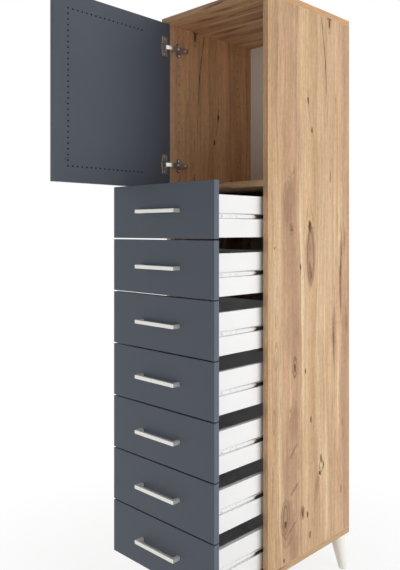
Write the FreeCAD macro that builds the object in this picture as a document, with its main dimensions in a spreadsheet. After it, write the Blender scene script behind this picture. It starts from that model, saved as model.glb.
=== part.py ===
import FreeCAD, Part
import Sketcher
import math
import os
import re

# A tall chifforobe: seven drawers under one cupboard with a door, on four splayed legs.
# X runs across the cabinet, the front faces -Y, and Z is up from the floor.
# The origin is on the floor, midway between the side panels, under their front edges.
# The drawers are drawn pulled out and the door open at a right angle.

sizes = {
    # the carcass
    "cabinet_width": 440,  # outside, over both side panels
    "side_depth": 418,  # front to rear edge of a side panel
    "front_cover": 22,  # how far the top and the bottom reach in front of the sides
    "carcass_height": 1702,  # underside of the bottom to the top face
    "leg_height": 118,  # floor to the underside of the bottom
    "board_thickness": 18,
    "shelf_lap": 5.6,  # how far the top drawer's front covers the fixed shelf's edge
    "back_thickness": 3,
    "back_setback": 17,  # behind the back panel, to the sides' rear edges
    "groove_depth": 6,
    "groove_clearance": 0.2,
    # the dowels that join the boards
    "dowel_diameter": 8,
    "dowel_length": 30,
    "dowel_in_face": 11,  # the part of a dowel that sits in a board's face
    "dowel_front_inset": 60,
    "dowel_rear_inset": 90,
    # the rows of pin holes beside the cupboard
    "pin_hole_diameter": 5,
    "pin_hole_depth": 12,
    "pin_pitch": 32,
    "pin_front_inset": 37,
    "pin_row_spacing": 288,
    "pin_end_inset": 20,  # least distance from a pin hole to the door's end
    # the fronts
    "front_thickness": 18,
    "front_height": 156.3,  # one drawer front
    "front_gap": 4,
    "front_margin": 1.5,  # how much narrower than the cabinet, each side
    "lower_gap": 2,  # bottom panel to the lowest front
    "upper_gap": 2.4,  # door to the top panel
    "closing_gap": 2,  # closed front to the sides' front edges
    "edge_round": 0.8,
    # the drawer boxes
    "drawer_pull": 196,  # how far the drawers are drawn out from closed
    "box_height": 117,
    "box_lift": 3.5,  # lower edge of the box above the front's lower edge
    "box_depth": 350,
    "box_board": 12,
    "floor_thickness": 3,
    "floor_lift": 8,  # drawer floor above the box's lower edge
    "floor_groove": 5,
    # the ball-bearing runners
    "runner_space": 10,  # side panel to drawer box
    "runner_start": 3,  # behind the front, and behind the sides' front edges
    "runner_rear_gap": 2,  # rear end of a runner to the drawer box's rear face
    "runner_steel": 1.2,
    "outer_runner_height": 27,
    "outer_runner_width": 8.5,
    "inner_runner_height": 15.4,
    "inner_runner_width": 7,
    "ball_track_length": 78,
    "ball_track_width": 4.5,
    "ball_track_start": 12,
    "ball_clearance": 0.15,
    "runner_screw_diameter": 3.2,
    "runner_screw_head": 6.5,
    "runner_head_height": 1.8,
    "runner_screw_length": 9,
    "runner_screw_inset": 36,  # first screw behind the front
    "runner_screw_spacing": 256,
    "runner_hole_diameter": 6.4,
    "runner_hole_inset": 72,
    # the bar handles
    "handle_centres": 160,
    "handle_post": 8.5,
    "handle_bar": 9,
    "handle_height": 11,
    "handle_reach": 26,
    "handle_outer_round": 2.5,
    "handle_inner_round": 4,
    "handle_screw_diameter": 4,
    "handle_screw_clearance": 0.25,
    "handle_screw_bite": 10,
    "handle_screw_head": 7.6,
    "handle_head_height": 2.2,
    "door_handle_inset": 40,  # from the door's free edge
    "door_handle_rise": 60,  # from its lower edge
    # the legs
    "leg_top_diameter": 52,
    "leg_foot_diameter": 28,
    "leg_inset": 29,  # middle of a leg's top from the bottom panel's edges
    "leg_splay": 14,  # outward, along each side
    "leg_foot_bevel": 2,
    "leg_plate_size": 52,
    "leg_plate_thickness": 2.5,
    "leg_screw_inset": 4.5,
    "leg_screw_diameter": 3.5,
    "leg_screw_length": 14,
    "leg_screw_head": 6.5,
    "leg_screw_head_height": 1.6,
    "leg_bolt_diameter": 8,
    "leg_bolt_length": 30,
    # the door's concealed hinges
    "door_open_angle": 88.3,  # how far the door stands open
    "pivot_inset": 8,  # turning axis from the door's hinge edge
    "hinge_end_inset": 60,  # least distance from a cup's middle to the door's end
    "cup_inset": 22.5,
    "cup_diameter": 35,
    "cup_depth": 11.5,
    "cup_wall": 1,
    "cup_wing_height": 64,
    "cup_wing_width": 23,
    "cup_wing_thickness": 1.2,
    "plate_screw_length": 10,
    "arm_screw_length": 6,
    "arm_rear_screw": 51,  # behind the sides' front edges
    "cup_screw_spacing": 48,
    "hinge_screw_diameter": 4,
    "hinge_screw_length": 11,
    "hinge_screw_head": 7,
    "hinge_head_height": 1.5,
    "link_pin_across": 23.9,  # link's pin from the turning axis, into the cabinet
    "link_pin_back": 12.2,  # and rearwards
    "link_pin_diameter": 3,
    "link_pin_clearance": 0.05,
    "link_eye_wall": 1.2,
    "link_width": 13,
    "link_steel": 2.4,
    "link_bend": 11.8,  # from the pin along the link to its bend
    "link_rise": 4.6,  # bend's height over the line from the pin to the link's end
    "link_reach": 16.7,
    "link_rest_angle": 118,  # pin to link's end, clockwise from +X seen from above
    "arm_width": 16,
    "arm_steel": 1.2,
    "arm_face": 26.5,  # arm's outer face from the turning axis, into the cabinet
    "arm_foot": 11,  # edges of its cheeks from the turning axis
    "arm_nose": 8.5,  # front ends of its cheeks behind the turning axis
    "arm_web_start": 16,  # front end of its web behind the turning axis
    "arm_end": 62,  # rear end of the arm behind the sides' front edges
    "arm_clearance": 0.8,  # arm's nose to the door's corner as it swings past
    "plate_wing_height": 47,
    "plate_wing_start": 22,  # behind the sides' front edges
    "plate_wing_width": 22,
    "plate_wing_thickness": 2,
    "plate_block_start": 14,
    "plate_block_end": 59,
    "plate_block_width": 11,
    # the blind holes drilled in the door's inner face
    "dot_diameter": 4,
    "dot_depth": 5,
    "dot_pitch": 16,
    "dot_free_edge_inset": 46.5,
    "dots_down": 29,
    "dots_across": 18,
}
drawer_count = 7

doc = FreeCAD.newDocument("chifforobe")
sheet = doc.addObject("Spreadsheet::Sheet", "Sizes")
for row, (alias, amount) in enumerate(sizes.items(), start=1):
    sheet.set(f"A{row}", alias)
    sheet.set(f"B{row}", str(amount))
    sheet.setAlias(f"B{row}", alias)
doc.recompute()

# Distances that several pieces share, in the words of the sheet.
inner_half = "(cabinet_width / 2 - board_thickness)"
base_top = "(leg_height + board_thickness)"
top_underside = "(leg_height + carcass_height - board_thickness)"
side_height = "(carcass_height - 2 * board_thickness)"
back_front_face = "(side_depth - back_setback - back_thickness)"
front_pitch = "(front_height + front_gap)"
lowest_front = f"({base_top} + lower_gap)"
door_bottom = f"({lowest_front} + {drawer_count} * {front_pitch})"
door_top = f"({top_underside} - upper_gap)"
door_middle = f"(({door_bottom} + {door_top}) / 2)"
door_height = f"({door_top} - {door_bottom})"
front_width = "(cabinet_width - 2 * front_margin)"
shelf_bottom = f"({door_bottom} - front_gap - shelf_lap)"
box_half = f"({inner_half} - runner_space)"
runner_level = "(box_lift + box_height / 2)"
runner_length = "(box_depth - runner_start - runner_rear_gap)"

subParts = []


def formula(text):
    """The text with every size's name pointed at the sheet."""
    return re.sub(r"[a-z]+(?:_[a-z]+)+", lambda found: "Sizes." + found.group(0), str(text))


def amount(text):
    """The present value of a formula."""
    return float(sheet.evalExpression(formula(text)))


def keep(piece, label):
    piece.Label = label
    subParts.append(piece)
    return piece


def put(piece, corner):
    for axis, text in zip("xyz", corner):
        piece.setExpression("Placement.Base." + axis, formula(text))
    return piece


def box(name, length, corner):
    piece = doc.addObject("Part::Box", name)
    for side, text in zip(("Length", "Width", "Height"), length):
        piece.setExpression(side, formula(text))
    return put(piece, corner)


turns = {
    "x": FreeCAD.Rotation(FreeCAD.Vector(0, 1, 0), 90),
    "y": FreeCAD.Rotation(FreeCAD.Vector(1, 0, 0), -90),
    "z": FreeCAD.Rotation(),
}


def rod(name, diameter, length, start, along="z"):
    """A cylinder from its start, along an axis."""
    piece = doc.addObject("Part::Cylinder", name)
    piece.setExpression("Radius", formula(f"({diameter}) / 2"))
    piece.setExpression("Height", formula(length))
    piece.Placement.Rotation = turns[along]
    return put(piece, start)


def group(name, members):
    piece = doc.addObject("Part::Compound", name)
    piece.Links = members
    return piece


def cut(name, base, tools):
    piece = doc.addObject("Part::Cut", name)
    piece.Base = base
    piece.Tool = tools[0] if len(tools) == 1 else group(name + "_tools", tools)
    return piece


def fuse(name, members):
    piece = doc.addObject("Part::MultiFuse", name)
    piece.Shapes = members
    piece.Refine = True
    return piece


def mirror(name, source, normal=(1, 0, 0)):
    piece = doc.addObject("Part::Mirroring", name)
    piece.Source = source
    piece.Normal = FreeCAD.Vector(*normal)
    return piece


def originPlane(body, role):
    return [plane for plane in body.Origin.OriginFeatures if plane.Role == role][0]


def sketchOn(body, name, role, lift="0"):
    sketch = body.newObject("Sketcher::SketchObject", name)
    sketch.AttachmentSupport = (originPlane(body, role), [""])
    sketch.MapMode = "FlatFace"
    sketch.setExpression("AttachmentOffset.Base.z", formula(lift))
    return sketch


def measure(sketch, name, text, constraint):
    """A named dimension whose value is a formula."""
    number = sketch.addConstraint(Sketcher.Constraint(*constraint))
    sketch.renameConstraint(number, name)
    sketch.setExpression("Constraints." + name, formula(text))


def drawRectangle(sketch, width, height, left=None, low=None):
    """A rectangle that starts at the sketch's origin, or at left and low."""
    corners = [FreeCAD.Vector(*point) for point in ((1, 1), (9, 1), (9, 9), (1, 9))]
    for first in range(4):
        sketch.addGeometry(Part.LineSegment(corners[first], corners[(first + 1) % 4]))
    for first in range(4):
        sketch.addConstraint(Sketcher.Constraint("Coincident", first, 2, (first + 1) % 4, 1))
    sketch.addConstraint([Sketcher.Constraint("Horizontal", 0), Sketcher.Constraint("Horizontal", 2)])
    sketch.addConstraint([Sketcher.Constraint("Vertical", 1), Sketcher.Constraint("Vertical", 3)])
    measure(sketch, "width", width, ("DistanceX", 0, 1, 0, 2, 8.0))
    measure(sketch, "height", height, ("DistanceY", 1, 1, 1, 2, 8.0))
    if left is None:
        sketch.addConstraint(Sketcher.Constraint("Coincident", 0, 1, -1, 1))
    else:
        measure(sketch, "left", left, ("DistanceX", -1, 1, 0, 1, 1.0))
        measure(sketch, "low", low, ("DistanceY", -1, 1, 0, 1, 1.0))


def drawCircle(sketch, diameter, centre=None):
    circle = Part.Circle(FreeCAD.Vector(1, 1, 0), FreeCAD.Vector(0, 0, 1), 5)
    sketch.addGeometry(circle)
    measure(sketch, "diameter", diameter, ("Diameter", 0, 10.0))
    if centre is None:
        sketch.addConstraint(Sketcher.Constraint("Coincident", 0, 3, -1, 1))
    else:
        measure(sketch, "across", centre[0], ("DistanceX", -1, 1, 0, 3, 1.0))
        measure(sketch, "along", centre[1], ("DistanceY", -1, 1, 0, 3, 1.0))


def pad(body, sketch, length):
    feature = body.newObject("PartDesign::Pad", body.Name + "_pad")
    feature.Profile = sketch
    feature.setExpression("Length", formula(length))
    sketch.Visibility = False
    return feature


def roundEdges(body, name, base, wanted, radius):
    """Rounds the base's edges for which wanted(edge) is true."""
    doc.recompute()
    chosen = [f"Edge{number}" for number, edge in enumerate(base.Shape.Edges, start=1) if wanted(edge)]
    feature = body.newObject("PartDesign::Fillet", name)
    feature.Base = (base, chosen)
    feature.setExpression("Radius", formula(radius))
    return feature


def atFourCorners(name, piece):
    """The piece at the rear right corner, and mirrored to the other three."""
    front = mirror(name + "_front_right", piece, (0, 1, 0))
    front.setExpression("Base.y", formula("(side_depth - front_cover) / 2"))
    right = group(name + "_right", [piece, front])
    return group(name, [right, mirror(name + "_left", right)])


# ---------- the carcass ----------


def makeDowels():
    rows = (("front", "dowel_front_inset"), ("rear", "(side_depth - dowel_rear_inset)"))
    in_edge = "(dowel_length - dowel_in_face)"
    shelf_level = f"{shelf_bottom} + board_thickness / 2"
    dowels = []
    for row, depth in rows:
        for side, sign in (("left", "-"), ("right", "")):
            place = f"{side}_{row}_dowel"
            across = f"{sign}(cabinet_width - board_thickness) / 2"
            low = (across, depth, f"{base_top} - dowel_in_face")
            high = (across, depth, f"{top_underside} - {in_edge}")
            dowels.append(rod("low_" + place, "dowel_diameter", "dowel_length", low))
            dowels.append(rod("high_" + place, "dowel_diameter", "dowel_length", high))
        shelf_ends = (("left", f"-{inner_half} - dowel_in_face"), ("right", f"{inner_half} - {in_edge}"))
        for side, start in shelf_ends:
            name = f"shelf_{side}_{row}_dowel"
            dowels.append(rod(name, "dowel_diameter", "dowel_length", (start, depth, shelf_level), "x"))
    return group("dowels", dowels)


def makePinHoles():
    """Two rows of blind holes in the left panel's inner face, level about the door's middle."""
    holes_each_way = int(amount(f"({door_height} / 2 - pin_end_inset) / pin_pitch + 0.5"))
    holes = []
    rows = (("front", "pin_front_inset"), ("rear", "(pin_front_inset + pin_row_spacing)"))
    for row, depth in rows:
        for step in range(holes_each_way):
            for way, sign in (("up", "+"), ("down", "-")):
                level = f"{door_middle} {sign} ({step} + 0.5) * pin_pitch"
                start = (f"-{inner_half} - pin_hole_depth", depth, level)
                name = f"pin_hole_{row}_{way}_{step}"
                holes.append(rod(name, "pin_hole_diameter", "pin_hole_depth", start, "x"))
    return group("pin_holes", holes)


def makeCarcass():
    """Boards, back panel and dowels; returns what the bottom panel's other holes are cut from."""
    dowels = keep(makeDowels(), "carcass_dowels")
    slot = box(
        "back_slot",
        (
            f"2 * ({inner_half} + groove_depth)",
            "back_thickness + 2 * groove_clearance",
            f"{side_height} + 2 * groove_depth",
        ),
        (
            f"-{inner_half} - groove_depth",
            f"{back_front_face} - groove_clearance",
            f"{base_top} - groove_depth",
        ),
    )
    side_size = ("board_thickness", "side_depth", side_height)
    side_board = box("side_board", side_size, ("-cabinet_width / 2", "0", base_top))
    left = keep(cut("left_side", side_board, [slot, dowels, makePinHoles()]), "left_side_panel")
    keep(mirror("right_side", left), "right_side_panel")

    cap_size = ("cabinet_width", "side_depth + front_cover", "board_thickness")
    top_board = box("top_board", cap_size, ("-cabinet_width / 2", "-front_cover", top_underside))
    keep(cut("top", top_board, [slot, dowels]), "top_panel")
    bottom_board = box("bottom_board", cap_size, ("-cabinet_width / 2", "-front_cover", "leg_height"))
    bottom = cut("bottom_joints", bottom_board, [slot, dowels])

    shelf_size = (f"2 * {inner_half}", back_front_face, "board_thickness")
    shelf_board = box("shelf_board", shelf_size, (f"-{inner_half}", "0", shelf_bottom))
    keep(cut("shelf", shelf_board, [dowels]), "fixed_shelf")

    sunk = "(groove_depth - groove_clearance)"
    back_size = (f"2 * ({inner_half} + {sunk})", "back_thickness", f"{side_height} + 2 * {sunk}")
    back_corner = (f"-{inner_half} - {sunk}", back_front_face, f"{base_top} - {sunk}")
    keep(box("back", back_size, back_corner), "back_panel")
    return bottom


# ---------- the legs ----------


def makeLeg(name):
    """A round tapered leg whose foot stands further out than its top, at the rear right."""
    body = doc.addObject("PartDesign::Body", name)
    length = "(leg_height - leg_plate_thickness)"
    sections = (
        ("foot", "leg_foot_diameter - 2 * leg_foot_bevel", "0"),
        ("ankle", "leg_foot_diameter", "leg_foot_bevel"),
        ("top", "leg_top_diameter", length),
    )
    circles = []
    for level, diameter, lift in sections:
        circle = sketchOn(body, f"{name}_{level}", "XY_Plane", lift)
        away = f"leg_splay * (1 - ({lift}) / {length})"
        drawCircle(circle, diameter, None if level == "top" else (away, away))
        circles.append(circle)
    loft = body.newObject("PartDesign::AdditiveLoft", name + "_loft")
    loft.Profile = circles[0]
    loft.Sections = circles[1:]
    loft.Ruled = True
    return put(body, ("cabinet_width / 2 - leg_inset", "side_depth - leg_inset", "0"))


def makeLegs(bottom):
    middle = ("(cabinet_width / 2 - leg_inset)", "(side_depth - leg_inset)")
    plate_underside = "(leg_height - leg_plate_thickness)"
    bolt_start = (*middle, "leg_height - leg_bolt_length")
    bolt = rod("leg_bolt", "leg_bolt_diameter", "leg_bolt_length", bolt_start)
    shanks = []
    screws = []
    for column, across in (("a", "-"), ("b", "+")):
        for row, along in (("a", "-"), ("b", "+")):
            name = f"leg_screw_{column}{row}"
            offset = "(leg_plate_size / 2 - leg_screw_inset)"
            place = (f"{middle[0]} {across} {offset}", f"{middle[1]} {along} {offset}")
            shank_start = (*place, plate_underside)
            shank = rod(name + "_shank", "leg_screw_diameter", "leg_screw_length", shank_start)
            head_start = (*place, f"{plate_underside} - leg_screw_head_height")
            head = rod(name + "_head", "leg_screw_head", "leg_screw_head_height", head_start)
            shanks.append(shank)
            screws.append(fuse(name, [shank, head]))
    plate_size = ("leg_plate_size", "leg_plate_size", "leg_plate_thickness")
    plate_corner = (f"{middle[0]} - leg_plate_size / 2", f"{middle[1]} - leg_plate_size / 2")
    blank = box("leg_plate_blank", plate_size, (*plate_corner, plate_underside))
    leg = cut("leg", makeLeg("leg_turning"), [bolt])
    plate = cut("leg_plate", blank, [bolt, *shanks])
    keep(atFourCorners("all_legs", leg), "legs")
    keep(atFourCorners("all_leg_plates", plate), "leg_plates")
    keep(atFourCorners("all_leg_fasteners", group("leg_fixings", [bolt, *screws])), "leg_fasteners")
    holes = atFourCorners("leg_screw_holes", group("leg_shanks", [bolt, *shanks]))
    keep(cut("bottom", bottom, [holes]), "bottom_panel")


# ---------- the handles ----------


def makeHandle(name):
    """A squared bar on two posts: its front at y 0, its feet at handle_reach, lying along X."""
    length = "(handle_centres + handle_post)"
    body = doc.addObject("PartDesign::Body", name + "_body")
    outline = sketchOn(body, name + "_outline", "XY_Plane")
    drawRectangle(outline, length, "handle_reach")
    block = pad(body, outline, "handle_height")
    opening = sketchOn(body, name + "_opening", "XY_Plane")
    gap_size = ("handle_centres - handle_post", "handle_reach - handle_bar")
    drawRectangle(opening, *gap_size, "handle_post", "handle_bar")
    pocket = body.newObject("PartDesign::Pocket", name + "_pocket")
    pocket.Profile = opening
    pocket.Reversed = True
    pocket.setExpression("Length", formula("handle_height"))
    doc.recompute()
    bar = sheet.get("handle_bar")
    upright = lambda edge: abs(edge.tangentAt(edge.FirstParameter).z) > 0.99
    outer = lambda edge: upright(edge) and edge.CenterOfMass.y < 0.01
    inner = lambda edge: upright(edge) and abs(edge.CenterOfMass.y - bar) < 0.01
    outerRound = roundEdges(body, name + "_outer", pocket, outer, "handle_outer_round")
    roundEdges(body, name + "_inner", outerRound, inner, "handle_inner_round")
    return body


def makeHandleScrews(name, place, turned=False):
    """Shanks and whole screws for a handle whose middle is at place on a front's rear face."""
    shanks = []
    screws = []
    for side, sign in (("a", "-"), ("b", "+")):
        away = f" {sign} handle_centres / 2"
        across, depth, level = place
        across, level = (across, level + away) if turned else (across + away, level)
        start = (across, f"{depth} - front_thickness - handle_screw_bite", level)
        shank_length = "front_thickness + handle_screw_bite"
        shank = rod(f"{name}_shank_{side}", "handle_screw_diameter", shank_length, start, "y")
        head_start = (across, depth, level)
        head = rod(f"{name}_head_{side}", "handle_screw_head", "handle_head_height", head_start, "y")
        shanks.append(shank)
        screws.append(fuse(f"{name}_screw_{side}", [shank, head]))
    return shanks, screws


def makeScrewClearance(name, place, turned=False):
    """The two through holes of a handle in a front."""
    holes = []
    for side, sign in (("a", "-"), ("b", "+")):
        away = f" {sign} handle_centres / 2"
        across, depth, level = place
        across, level = (across, level + away) if turned else (across + away, level)
        start = (across, f"{depth} - front_thickness", level)
        wide = "handle_screw_diameter + 2 * handle_screw_clearance"
        holes.append(rod(f"{name}_hole_{side}", wide, "front_thickness", start, "y"))
    return holes


# ---------- the drawers ----------


def makeFront(name, width, height):
    """A board whose rear face is at y 0, with the edges of its outer face rounded."""
    body = doc.addObject("PartDesign::Body", name + "_board")
    outline = sketchOn(body, name + "_outline", "XZ_Plane")
    drawRectangle(outline, width, height)
    board = pad(body, outline, "front_thickness")
    thickness = sheet.get("front_thickness")
    onFace = lambda edge: abs(edge.CenterOfMass.y + thickness) < 0.01
    roundEdges(body, name + "_edges", board, onFace, "edge_round")
    return body


def placeDrawer(piece, level):
    return put(piece, ("0", "-drawer_pull - closing_gap", level))


def makeDrawer(number):
    """One drawer; its own frame starts at the middle of its front's lower rear edge."""
    name = f"drawer_{number}"
    level = f"{lowest_front} + {drawer_count - number} * {front_pitch}"
    inside_half = f"({box_half} - box_board)"
    floor_level = "(box_lift + floor_lift)"
    handle_place = ("0", "0", "front_height / 2")

    shanks, screws = makeHandleScrews(name, handle_place)
    front_board = put(makeFront(name, front_width, "front_height"), (f"-{front_width} / 2", "0", "0"))
    groove = box(
        name + "_front_groove",
        (f"2 * ({inside_half} + floor_groove)", "floor_groove", "floor_thickness"),
        (f"-{inside_half} - floor_groove", "-floor_groove", floor_level),
    )
    front = cut(name + "_front_cut", front_board, [groove, *makeScrewClearance(name, handle_place)])
    keep(placeDrawer(front, level), name + "_front")

    bar = put(
        makeHandle(name + "_bar"),
        (
            "-(handle_centres + handle_post) / 2",
            "-front_thickness - handle_reach",
            "(front_height - handle_height) / 2",
        ),
    )
    handle = group(name + "_handle_set", [cut(name + "_bar_cut", bar, shanks), *screws])
    keep(placeDrawer(handle, level), name + "_handle")

    runner, runner_shanks = makeInnerRunner(name)
    runners = group(name + "_runner_pair", [runner, mirror(name + "_left_runner", runner)])
    keep(placeDrawer(runners, level), name + "_runners")

    side_size = ("box_board", "box_depth", "box_height")
    side_board = box(name + "_side_board", side_size, (inside_half, "0", "box_lift"))
    groove_size = ("floor_groove", "box_depth", "floor_thickness")
    side_groove = box(name + "_side_groove", groove_size, (inside_half, "0", floor_level))
    side = cut(name + "_side", side_board, [side_groove, *runner_shanks])
    sides = group(name + "_side_pair", [side, mirror(name + "_left_side", side)])
    keep(placeDrawer(sides, level), name + "_sides")

    sunk = "(floor_groove - groove_clearance)"
    floor_size = (f"2 * ({inside_half} + {sunk})", f"box_depth + {sunk}", "floor_thickness")
    floor = box(name + "_floor", floor_size, (f"-{inside_half} - {sunk}", f"-{sunk}", floor_level))
    keep(placeDrawer(group(name + "_floor_set", [floor]), level), name + "_bottom")

    back_size = (f"2 * {inside_half}", "box_board", "box_height - floor_lift - floor_thickness")
    back_corner = (f"-{inside_half}", "box_depth - box_board", f"{floor_level} + floor_thickness")
    back = box(name + "_rear_board", back_size, back_corner)
    keep(placeDrawer(group(name + "_rear_set", [back]), level), name + "_back")


def makeChannel(name, wide, high, long, corner, open_side):
    """A steel channel along Y, open towards one side, at the corner given."""
    blank = box(name + "_blank", (wide, long, high), corner)
    across, along, low = corner
    start = across if open_side == "left" else f"{across} + runner_steel"
    hollow_size = (f"{wide} - runner_steel", long, f"{high} - 2 * runner_steel")
    hollow = box(name + "_hollow", hollow_size, (start, along, f"{low} + runner_steel"))
    return blank, hollow


def makeInnerRunner(name):
    """The right runner that moves with the drawer, with its screws; returns the shanks as well."""
    corner = (box_half, "runner_start", f"{runner_level} - inner_runner_height / 2")
    size = ("inner_runner_width", "inner_runner_height", runner_length)
    blank, hollow = makeChannel(name + "_runner", *size, corner, "right")
    shanks = []
    screws = []
    for step in range(2):
        along = f"runner_screw_inset + {step} * runner_screw_spacing"
        shank_start = (f"{box_half} - runner_screw_length", along, runner_level)
        shank_length = "runner_screw_length + runner_steel"
        shank = rod(f"{name}_runner_shank_{step}", "runner_screw_diameter", shank_length, shank_start, "x")
        head_start = (f"{box_half} + runner_steel", along, runner_level)
        head_size = ("runner_screw_head", "runner_head_height")
        head = rod(f"{name}_runner_head_{step}", *head_size, head_start, "x")
        shanks.append(shank)
        screws.append(fuse(f"{name}_runner_screw_{step}", [shank, head]))
    hole_start = (box_half, "runner_hole_inset", runner_level)
    hole = rod(name + "_runner_hole", "runner_hole_diameter", "runner_steel", hole_start, "x")
    channel = cut(name + "_runner_channel", blank, [hollow, hole, *shanks])
    return group(name + "_runner_set", [channel, *screws]), shanks


def makeOuterRunners():
    """The runners on the side panels, each a channel with a ball track along each flange."""
    runners = []
    for number in range(1, drawer_count + 1):
        name = f"outer_runner_{number}"
        middle = f"{lowest_front} + {drawer_count - number} * {front_pitch} + {runner_level}"
        start = f"{inner_half} - outer_runner_width"
        corner = (start, "runner_start", f"{middle} - outer_runner_height / 2")
        size = ("outer_runner_width", "outer_runner_height", runner_length)
        blank, hollow = makeChannel(name, *size, corner, "left")
        runners.append(cut(name, blank, [hollow]))
        track_height = "(outer_runner_height / 2 - runner_steel - inner_runner_height / 2 - ball_clearance)"
        track_size = ("ball_track_width", "ball_track_length", track_height)
        upper = (start, "ball_track_start", f"{middle} + inner_runner_height / 2 + ball_clearance")
        lower = (start, "ball_track_start", f"{middle} + runner_steel - outer_runner_height / 2")
        runners.append(box(name + "_upper_track", track_size, upper))
        runners.append(box(name + "_lower_track", track_size, lower))
    right = keep(group("outer_runners", runners), "right_cabinet_runners")
    keep(mirror("left_outer_runners", right), "left_cabinet_runners")


# ---------- the door and its hinges ----------

pivot_across = "(pivot_inset - cabinet_width / 2 + front_margin)"
pivot_depth = "(-closing_gap - front_thickness)"


def swingOpen(piece):
    """Turns a piece of the closed door open about the hinges' axis."""
    angle = sheet.get("door_open_angle")
    piece.Placement.Rotation = FreeCAD.Rotation(FreeCAD.Vector(0, 0, 1), -angle)
    left = "(1 - cos(door_open_angle))"
    across = f"{pivot_across} * {left} - {pivot_depth} * sin(door_open_angle)"
    depth = f"{pivot_depth} * {left} + {pivot_across} * sin(door_open_angle)"
    return put(piece, (across, depth, "0"))


def hingeLevels():
    away = f"floor(({door_height} / 2 - hinge_end_inset) / pin_pitch) * pin_pitch"
    return (("upper", f"({door_middle} + {away})"), ("lower", f"({door_middle} - {away})"))


def makeScrew(name, diameter, length, through, head_place, along):
    """A screw driven against an axis: the shank's start, the head's seat."""
    across, depth, level = head_place
    reach = f"({length})"
    if along == "y":
        start = (across, f"{depth} - {reach} - {through}", level)
    else:
        start = (f"{across} - {reach} - {through}", depth, level)
    shank = rod(name + "_shank", diameter, f"{reach} + {through}", start, along)
    head = rod(name + "_head", "hinge_screw_head", "hinge_head_height", head_place, along)
    return shank, fuse(name, [shank, head])


def makeDoor():
    """The door in its closed place, turned open at the end."""
    inner_face = "(-closing_gap)"
    hinge_edge = f"(-{front_width} / 2)"
    panel_board = put(makeFront("door", front_width, door_height), (hinge_edge, inner_face, door_bottom))
    holes = []
    cups = []
    for name, level in hingeLevels():
        middle = f"({hinge_edge} + cup_inset)"
        cup_start = (middle, f"{inner_face} - cup_depth", level)
        bore = rod(name + "_cup_bore", "cup_diameter", "cup_depth", cup_start, "y")
        wing_size = ("cup_wing_width", "cup_wing_thickness", "cup_wing_height")
        wing_corner = (f"{middle} - cup_wing_width / 2", inner_face, f"{level} - cup_wing_height / 2")
        wing = box(name + "_cup_wing", wing_size, wing_corner)
        hollow_wide = "cup_diameter - 2 * cup_wall"
        hollow_long = "cup_depth + cup_wing_thickness - cup_wall"
        hollow_start = (middle, f"{inner_face} - cup_depth + cup_wall", level)
        hollow = rod(name + "_cup_hollow", hollow_wide, hollow_long, hollow_start, "y")
        shanks = []
        for side, sign in (("a", "-"), ("b", "+")):
            seat = (middle, f"{inner_face} + cup_wing_thickness", f"{level} {sign} cup_screw_spacing / 2")
            size = ("hinge_screw_diameter", "hinge_screw_length", "cup_wing_thickness")
            shank, screw = makeScrew(f"{name}_cup_screw_{side}", *size, seat, "y")
            shanks.append(shank)
            cups.append(screw)
        cups.append(cut(name + "_cup", fuse(name + "_cup_blank", [bore, wing]), [hollow, *shanks]))
        holes += [bore, *shanks]
    keep(swingOpen(group("cups", cups)), "hinge_cups")

    handle_inset = f"({front_width} / 2 - door_handle_inset)"
    handle_level = f"({door_bottom} + door_handle_rise + (handle_centres + handle_post) / 2)"
    handle_place = (handle_inset, inner_face, handle_level)
    shanks, screws = makeHandleScrews("door", handle_place, turned=True)
    bar = makeHandle("door_bar")
    bar.Placement.Rotation = FreeCAD.Rotation(FreeCAD.Vector(0, 1, 0), -90)
    bar_start = (
        f"{handle_inset} + handle_height / 2",
        f"{inner_face} - front_thickness - handle_reach",
        f"{door_bottom} + door_handle_rise",
    )
    put(bar, bar_start)
    handle = group("door_handle_set", [cut("door_bar_cut", bar, shanks), *screws])
    keep(swingOpen(handle), "door_handle")

    holes += makeScrewClearance("door", handle_place, turned=True)
    holes += makeDots(inner_face)
    keep(swingOpen(cut("door_cut", panel_board, holes)), "door_panel")


def makeDots(inner_face):
    """Blind holes in a column by the free edge, and in a row inward from each of its ends."""
    column = f"({front_width} / 2 - dot_free_edge_inset)"
    down = int(sheet.get("dots_down"))
    places = [(0, step) for step in range(down)]
    places += [(step, end) for end in (0, down - 1) for step in range(1, int(sheet.get("dots_across")))]
    dots = []
    for across, up in places:
        level = f"{door_middle} + ({up} - (dots_down - 1) / 2) * dot_pitch"
        start = (f"{column} - {across} * dot_pitch", f"{inner_face} - dot_depth", level)
        dots.append(rod(f"dot_{across}_{up}", "dot_diameter", "dot_depth", start, "y"))
    return dots


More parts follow.
